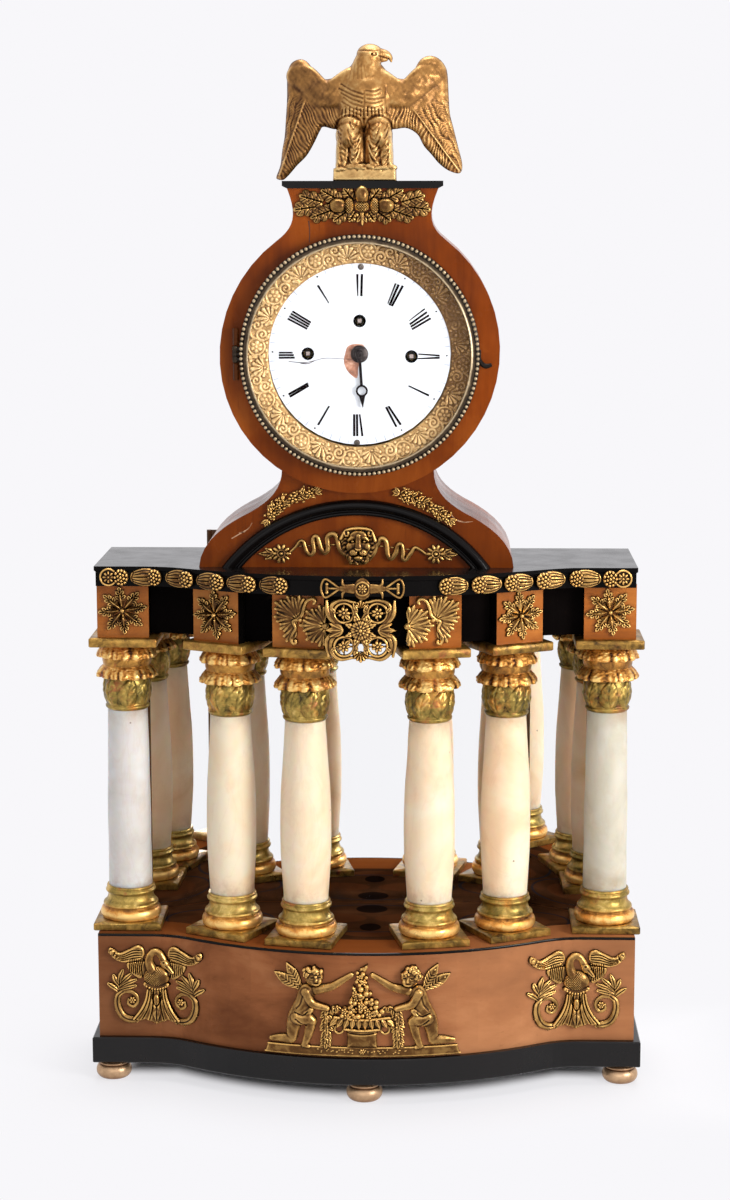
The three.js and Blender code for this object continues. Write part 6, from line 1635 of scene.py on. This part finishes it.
# Strokes left of each upside-down numeral on the dial: outer end, inner end, widths of both ends
NUMERALS = [((-1.1, 41.2), (-0.9, 29.8), 1.0, 0.3), ((1.3, 41.2), (1.0, 29.8), 1.0, 1.0),
            ((18.8, 36.4), (14.7, 26.0), 0.8, 0.25), ((20.3, 35.8), (15.6, 25.1), 1.1, 1.0),
            ((22.5, 35.2), (16.8, 24.7), 1.1, 1.0), ((33.9, 23.3), (25.7, 17.1), 0.7, 0.2),
            ((35.0, 21.6), (26.1, 15.3), 0.9, 0.9), ((36.1, 20.0), (26.6, 14.0), 0.9, 0.9),
            ((37.0, 18.4), (27.2, 12.7), 0.9, 0.9), ((41.7, -0.9), (30.6, -0.1), 0.7, 0.5),
            ((41.7, -2.0), (30.1, -2.5), 0.9, 0.4), ((36.2, -21.7), (25.5, -16.6), 0.9, 0.5),
            ((19.2, -38.1), (13.8, -27.7), 0.9, 0.9), ((21.5, -37.0), (15.0, -27.2), 1.0, 0.9),
            ((-2.9, -43.0), (-2.9, -31.5), 0.9, 0.9), ((-1.3, -43.0), (-1.4, -31.5), 0.9, 0.9),
            ((1.4, -43.0), (0.0, -31.5), 0.9, 0.6), ((-21.8, -37.2), (-15.9, -27.2), 0.9, 0.7),
            ((-37.2, -21.2), (-26.9, -15.4), 1.0, 1.0), ((-36.5, -22.4), (-26.6, -16.5), 1.0, 1.0),
            ((-42.1, 0.6), (-34.9, 0.6), 0.7, 0.7), ((-42.1, -0.7), (-34.3, -0.7), 0.8, 0.8),
            ((-42.1, -2.1), (-33.8, -2.0), 0.8, 0.8), ((-34.9, 22.0), (-25.3, 16.2), 0.8, 0.8),
            ((-35.7, 20.8), (-25.9, 15.1), 0.8, 0.8), ((-36.5, 19.5), (-26.5, 14.0), 0.8, 0.8),
            ((-37.3, 18.2), (-27.2, 12.9), 0.8, 0.8), ((-21.6, 35.4), (-15.8, 26.2), 0.95, 0.25)]
CHIP = [(-6.0, 4.0), (-7.4, 0.6), (-8.2, -3.4), (-7.4, -7.0), (-5.2, -10.2), (-2.0, -12.6), (-0.9, -11.0),
        (-0.4, -6.0), (2.6, 3.6), (-1.6, 5.2)]
DIAL_FRONT, DIAL_DEEPEST = -26.1, -25
RIBBON_SINK = 0.1
DOT_RADIUS, DOT_HALF, DOT_WIDE = 45.4, 0.42, 0.75
TICK_INNER, TICK_OUTER = 44.2, 46.9
MARK_TURN = 1.2
BOLD = 0.18
SCREW_Y, COLLET_Y = -25.7, -27.75
LINER = [(2.25, -23.5), (2.5, -23.78), (4.3, -23.85), (4.3, -23.3), (2.25, -23.3)]
TIP_LEVELS = ((0.9, -24.0), (1.35, -23.85), (1.53, -23.6), (1.53, -22.4))
TIP_WEAR = [0.75, 0.1, 0.0, 0.0]
CRACKS = [(((-37.0, -4.0), (-29, -4.6), (-22.6, -3.3), (-17.5, -2.2), (-9, -2.6), (-4, -2.8)), 0.4, 0.26),
          (((-30.8, -4.9), (-27, -5.1), (-23.4, -3.6)), 0.6, 0.3)]


def dial_marks():
    """Worn numerals, dots, ticks, cracks and a chip, with the screws, winding squares and collet."""
    place = on_dial()
    ink = flecked("dial_ink", (8, 5, 6), (22, 15, 17), 300, 4, 0.4, 0.0)
    strokes = [((a, b), wa + BOLD, wb + BOLD) for a, b, wa, wb in NUMERALS]
    ribbons("numerals", place, strokes, ink, 0.24, slot="enamel")
    dots, ticks = [], []
    for k in range(60):
        a = math.radians(6 * k + MARK_TURN)
        out = np.array([math.sin(a), math.cos(a)])
        if k % 5:
            ticks.append(((TICK_INNER * out, TICK_OUTER * out), 0.28, 0.4))
        elif k % 30:
            x, z = DOT_RADIUS * out
            dots.append((((x - DOT_HALF, z), (x, z + 0.01), (x + DOT_HALF, z)), DOT_WIDE, DOT_WIDE))
    ribbons("hour_dots", place, dots, ink, 0.24, slot="enamel")
    pale = flecked("faded_ink", (120, 130, 160), (190, 196, 212), 120, 4, 0.4)
    ribbons("minute_ticks", place, ticks, pale, 0.16, slot="enamel")
    grey = flecked("dial_crack", (54, 46, 50), (112, 104, 106), 200, 3, 0.6)
    ribbons("dial_cracks", place, CRACKS, grey, 0.14, slot="enamel")
    bare = Graph("bare_copper")
    shade = bare.ramp(bare.noise(260, 5, 0.7), (0.25, rgb(92, 48, 34)), (0.5, rgb(182, 122, 94)),
                      (0.75, rgb(222, 182, 156)))
    bare.bump(bare.noise(400, 3), 0.0001, 0.5)
    r = Relief(-10, 4, -14, 7, 0.3)
    r.polygon(loop(CHIP), 0.08, 0.5)
    r.piece("dial_chip", place, bare.look(Base_Color=shade, Roughness=0.5), rim=0.03,
            sink=0.08, slot="enamel")

    domed = [(0.9, -0.3), (1.55, 0.0), (1.6, 0.25), (1.2, 0.55), (0.5, 0.6), (0.45, 0.3), (0.1, 0.3)]
    screws = [(boss(DIAL_X + x, SCREW_Y, DIAL_Z + z, domed), ()) for x, z in ((0.8, 44.9), (-1.4, -46.4))]
    build("dial_screws", together(*screws)[0], SCREW, slot="movement_brass", sharp=40)

    corners = np.array([(1, 1), (1, -1), (-1, -1), (-1, 1)])
    for name in ("going_barrel", "strike_barrel", "quarter_barrel"):
        tip = points_of(name)
        x, z = tip[tip[:, 1] < tip[:, 1].min() + 0.3][:, [0, 2]].mean(0)
        # Painted shade: a black liner behind each winding hole stands in for the shade inside it.
        build(f"winding_liner_{name}", band(x, z, LINER, 48), SHADOW_BLACK, slot="blued_steel", sharp=40)
        rings = [[(x + h * cx, y, z + h * cz) for cx, cz in corners] for h, y in TIP_LEVELS]
        worn_and_shaded = np.append(np.repeat(TIP_WEAR, len(corners)), [0.8, 0.0])
        build(f"winding_tip_{name}", loft(rings), SQUARE, body=name, slot="blued_steel", sharp=30, wear=worn_and_shaded)

    collet = [(4.3, -0.2), (4.6, 0.1), (4.5, 0.5), (3.8, 0.85), (2.7, 1.1), (2.2, 1.3), (1.9, 1.15),
              (1.3, 1.15), (1.1, 1.4), (0.4, 1.45)]
    build("hand_collet", boss(DIAL_X, COLLET_Y, DIAL_Z, collet), COLLET, body="hour_pipe", slot="blued_steel",
          sharp=40)


bezel()
surround()
dial_marks()


# Feet, arch, edge line and floor panel

FOOT_OUTLINE = curve([(0.55, 0.0), (0.8, 0.03), (0.96, 0.2), (1.0, 0.4), (0.95, 0.58), (0.85, 0.7),
                      (0.8, 0.73), (0.84, 0.78), (0.85, 0.84), (0.78, 0.9), (0.72, 0.94), (0.72, 1.0)], 4)
FOOT_GROOVE, FOOT_SIDES = 0.73, 64
ARCH_X, ARCH_DROP, HEAD_LEAN = -4.77, 52.15, 0.02
ARCH_SECTION = np.array([(80.0, -0.2), (80.0, 1.6), (80.3, 2.5), (81.0, 3.0), (81.8, 2.8), (82.3, 2.0),
                         (82.7, 2.0), (83.3, 3.4), (84.3, 4.5), (85.6, 5.0), (86.8, 4.7), (87.8, 3.6),
                         (88.3, 2.2), (88.4, -0.2)])
EDGE_SECTION = [(-0.4, 81.7), (0.0, 81.5), (0.22, 81.7), (0.25, 82.4), (0.0, 82.8), (-0.9, 82.85),
                (-1.1, 82.6), (-0.4, 82.3)]
EDGE_HALF, PANEL_HALF = 146.3, 118
PANEL_TOP, PANEL_FOOT, PANEL_INSET = 82.85, 82.5, 25


def feet():
    share, tall = FOOT_OUTLINE.T
    worn_and_shaded = 0.45 + 0.3 * np.sin(3 * tall) - 0.35 * hill(tall, FOOT_GROOVE, 0.04)
    for place in ("front_left", "front_centre", "front_right", "rear_left", "rear_right"):
        points = points_of(f"foot_{place}")
        low, high = points.min(0), points.max(0)
        rings = turned((low + high)[:2] / 2, tall * high[2], share * (high[0] - low[0]) / 2, FOOT_SIDES)
        solid, (wear,) = together((loft(rings), (np.repeat(worn_and_shaded, FOOT_SIDES),)))
        build(f"bun_foot_{place}", solid, BRONZE, slot="bronze", stands_for=[f"foot_{place}"],
              sharp=50, wear=wear)


def arch():
    """Black moulding with a bead, a groove and a half round."""
    radius, out = ARCH_SECTION.T
    rings = []
    for t in np.linspace(-1, 1, 121):
        angle = t * np.arccos(ARCH_DROP / radius)
        z = CORNICE_TOP - ARCH_DROP + radius * np.cos(angle)
        x = ARCH_X + radius * np.sin(angle) + HEAD_LEAN * (z - CORNICE_TOP)
        rings.append(np.stack([x, PLAN + PEDESTAL_PLANE - out, z], -1))
    build("arch_bead", loft(rings), EBONISED, slot="ebonised_wood", stands_for=["arch_moulding"], sharp=50)


def edge_line():
    """Dark stringing round the top edge of the base front."""
    x = np.linspace(-EDGE_HALF, EDGE_HALF, 260)[:, None]
    h, z = np.array(EDGE_SECTION).T
    rings = serpentine(0)(x, np.broadcast_to(z, (len(x), len(z))), h)
    build("edge_line", loft(rings), EBONISED, slot="ebonised_wood", sharp=40)


def floor_panel():
    """Dark veneer laid inside a lighter border up to the mirrors, with leaves and ovals let in."""
    g, colour = veneer("panel_veneer", rgb(48, 29, 17), rgb(88, 55, 34), rgb(126, 80, 50), (0.08, 1, 1), 0.0)
    x, y, _ = g.split()

    def oval(cx, cy, a, b):
        p = g.math("DIVIDE", g.minus(x, cx), a)
        q = g.math("DIVIDE", g.minus(y, cy), b)
        return g.math("SQRT", g.plus(g.times(p, p), g.times(q, q)))

    leaves = ((-0.02, 0.016, 0.02, 0.009), (0.024, 0.016, 0.02, 0.009), (-0.082, 0.012, 0.02, 0.012),
              (0.082, 0.012, 0.02, 0.012), (0.002, -0.014, 0.014, 0.005))
    discs = ((0.002, 0.034, 0.009, 0.008), (0.002, -0.001, 0.006, 0.007))
    rings = ((0.002, 0.016, 0.046, 0.026), (-0.082, 0.012, 0.03, 0.02), (0.082, 0.012, 0.03, 0.02))
    for ovals, share, tone in ((leaves, 0.7, rgb(104, 60, 34)), (discs, 0.85, rgb(12, 12, 14))):
        for spot in ovals:
            colour = g.coat(colour, tone, g.step(oval(*spot), 1.02, 0.94), share)
    for spot in rings:
        away = g.math("ABSOLUTE", g.minus(oval(*spot), 1.0))
        line = g.step(g.times(away, spot[-1]), 0.0009, 0.0004)
        colour = g.coat(colour, rgb(38, 46, 58), line, 0.7)
    g.look(Base_Color=colour)
    columns = np.linspace(-PANEL_HALF, PANEL_HALF, 160)
    front = front_y(columns)[0] + PLAN + PANEL_INSET
    back = np.interp(np.abs(columns), [0, 88, 90.6, 121.1], [47.1, 47.1, 46.4, 28.4])
    border = []
    for line, level in ((front, PANEL_TOP), (back, PANEL_TOP), (back, PANEL_FOOT), (front, PANEL_FOOT)):
        border.append(np.stack([columns, line, np.full(len(columns), level)], -1))
    build("floor_panel", loft(np.stack(border, 1)), g.material, slot="base_veneer", sharp=30)


def scars():
    """A dark crack on the neck, pale scratches on the pedestal."""
    dark = flecked("crack", (24, 10, 4), (60, 28, 10), 300, 3, 0.6)
    crack = [(((-28.4, 457.0), (-28.2, 462.0), (-28.6, 468.0)), 0.3, 0.55)]
    ribbons("neck_crack", flat(NECK_PLANE), crack, dark, 0.05, slot="head_veneer")
    pale = flecked("scratch", (150, 96, 54), (214, 172, 134), 300, 3, 0.5)
    marks = [(((-70.7, 301.5), (-64.8, 304.9), (-61.6, 307.0), (-59.7, 309.9)), 0.6, 0.3),
             (((-66.8, 304.4), (-63.4, 305.2)), 0.3, 0.5),
             (((45.6, 314.3), (48.6, 311.6), (52.6, 310.4)), 0.3, 0.7),
             (((52.0, 310.4), (57.0, 310.9)), 0.5, 0.2)]
    ribbons("pedestal_scratches", flat(PEDESTAL_PLANE), marks, pale, 0.05, slot="head_veneer")


feet()
arch()
scars()
edge_line()
floor_panel()


# Finishes of the nodes that stay


def dress(material, *names):
    for name in names:
        node = NODES[name]
        node.data.materials.clear()
        node.data.materials.append(material)


dress(HEAD_VENEER, "head_case", "drum_front")
dress(BOX_VENEER, "base_box")
dress(MOULDING, "base_moulding")
dress(cornice_black(), "cornice")
dress(EBONISED, "head_cap")
# Painted shade: the ebonised frieze board is kept dull black to read as the shade of the recess.
dress(SHADOW_BLACK, "frieze_board")
dress(BLOCK_VENEER, *[f"frieze_block_{k}" for k in range(1, 7)])
dress(CARCASE, "niche_back", "back_door")
dress(MIRROR, "mirror_centre", "mirror_left", "mirror_right")
dress(STEEL, "hour_hand", "pallets")
dress(MOVEMENT, "front_plate", "back_plate", "going_barrel", "strike_barrel", "quarter_barrel",
      "centre_wheel", "minute_wheel", "hour_wheel", "third_wheel", "escape_wheel", "pendulum")
dress(enamel(), "dial")


# Stage: pale floor that fades to white, soft lamps, camera

FLOOR_REACH = 6.0
FOOT_HALF, FOOT_FRONT, FOOT_REAR = 0.15, -0.019, 0.053
FOOT_BOW, FOOT_SWELL = 0.105, 0.033
FADE_CLOSE, FADE_WIDE, FADE_SHARE = (-0.024, -0.006), (-0.006, 0.08), 0.72
BACKDROP = rgb(248, 247, 250)
SKY, SKY_STRENGTH = (0.94, 0.96, 1.0, 1), 0.24
SEEN_RAYS = ("Is Camera Ray", "Is Glossy Ray", "Is Transmission Ray")


def stage():
    mesh = bpy.data.meshes.new("floor")
    e = FLOOR_REACH
    mesh.from_pydata([(-e, -e, 0), (e, -e, 0), (e, e, 0), (-e, e, 0)], [], [(0, 1, 2, 3)])
    floor = bpy.data.objects.new("floor", mesh)
    bpy.context.scene.collection.objects.link(floor)
    g = Graph("floor")
    g.look(Base_Color=rgb(249, 248, 250), Roughness=0.6)
    x, y, _ = g.split()
    across = g.math("DIVIDE", x, FOOT_BOW)
    bow = g.larger(g.minus(1.0, g.times(across, across)), 0.0)
    front = g.minus(g.times(bow, -FOOT_SWELL), g.minus(y, FOOT_FRONT))
    side = g.minus(g.math("ABSOLUTE", x), FOOT_HALF)
    out = g.larger(g.larger(front, g.minus(y, FOOT_REAR)), side)
    far = g.plus(g.times(g.step(out, *FADE_CLOSE), FADE_SHARE),
                 g.times(g.step(out, *FADE_WIDE), 1 - FADE_SHARE))
    camera_ray, glossy_ray, clear_ray = [g.add("ShaderNodeLightPath").outputs[name] for name in SEEN_RAYS]
    seen = g.larger(g.larger(camera_ray, glossy_ray), clear_ray)
    g.cover(g.times(far, seen), g.add("ShaderNodeEmission", {"Color": BACKDROP}).outputs[0])
    mesh.materials.append(g.material)

    world = bpy.data.worlds.new("studio")
    bpy.context.scene.world = world
    world.use_nodes = True
    tree = world.node_tree
    light = tree.nodes["Background"]
    light.inputs["Color"].default_value = SKY
    light.inputs["Strength"].default_value = SKY_STRENGTH
    back = tree.nodes.new("ShaderNodeBackground")
    back.inputs["Color"].default_value = BACKDROP
    ray = tree.nodes.new("ShaderNodeLightPath")
    mixed = tree.nodes.new("ShaderNodeMixShader")
    seen = ray.outputs[SEEN_RAYS[0]]
    for other in SEEN_RAYS[1:]:
        either = tree.nodes.new("ShaderNodeMath")
        either.operation = "MAXIMUM"
        tree.links.new(seen, either.inputs[0])
        tree.links.new(ray.outputs[other], either.inputs[1])
        seen = either.outputs[0]
    for place, socket in enumerate((seen, light.outputs[0], back.outputs[0])):
        tree.links.new(socket, mixed.inputs[place])
    tree.links.new(mixed.outputs[0], tree.nodes["World Output"].inputs["Surface"])


def lamp(name, place, aim, size, power):
    data = bpy.data.lights.new(name, "AREA")
    data.shape = "DISK"
    data.size = size
    data.energy = power
    light = bpy.data.objects.new(name, data)
    light.location = place
    light.rotation_euler = (Vector(aim) - Vector(place)).to_track_quat("-Z", "Y").to_euler()
    bpy.context.scene.collection.objects.link(light)


stage()
lamp("key", (0.92, -0.64, 0.52), (0, 0, 0.28), 0.5, 9.6)
lamp("fill", (-0.2, -1.9, 0.8), (0, 0, 0.2), 1.4, 5.2)
lamp("top", (0.1, 0.3, 2.2), (0, 0, 0.25), 1.6, 40)

# Camera of the photograph: 730 by 1200 with a focal length of 2489 pixels
CAMERA_PLACE = (0.04004, -1.3243, 0.4847)
YAW, PITCH, ROLL = np.radians([1.76, 9.40, -0.08])
FOCAL_PIXELS = 2489.3
FRAME_HEIGHT = 1200
SENSOR = 36.0


def camera():
    data = bpy.data.cameras.new("camera")
    data.sensor_width = SENSOR
    data.lens = FOCAL_PIXELS / FRAME_HEIGHT * SENSOR
    data.clip_start = 0.01
    eye = bpy.data.objects.new("camera", data)
    ahead = Vector((-math.sin(YAW) * math.cos(PITCH), math.cos(YAW) * math.cos(PITCH), -math.sin(PITCH)))
    right = Vector((math.cos(YAW), math.sin(YAW), 0))
    up = right.cross(ahead)
    right, up = right * math.cos(ROLL) + up * math.sin(ROLL), up * math.cos(ROLL) - right * math.sin(ROLL)
    eye.matrix_world = Matrix.Translation(CAMERA_PLACE) @ Matrix((right, up, -ahead)).transposed().to_4x4()
    bpy.context.scene.collection.objects.link(eye)
    bpy.context.scene.camera = eye


camera()
bpy.context.scene.view_settings.view_transform = "Standard"
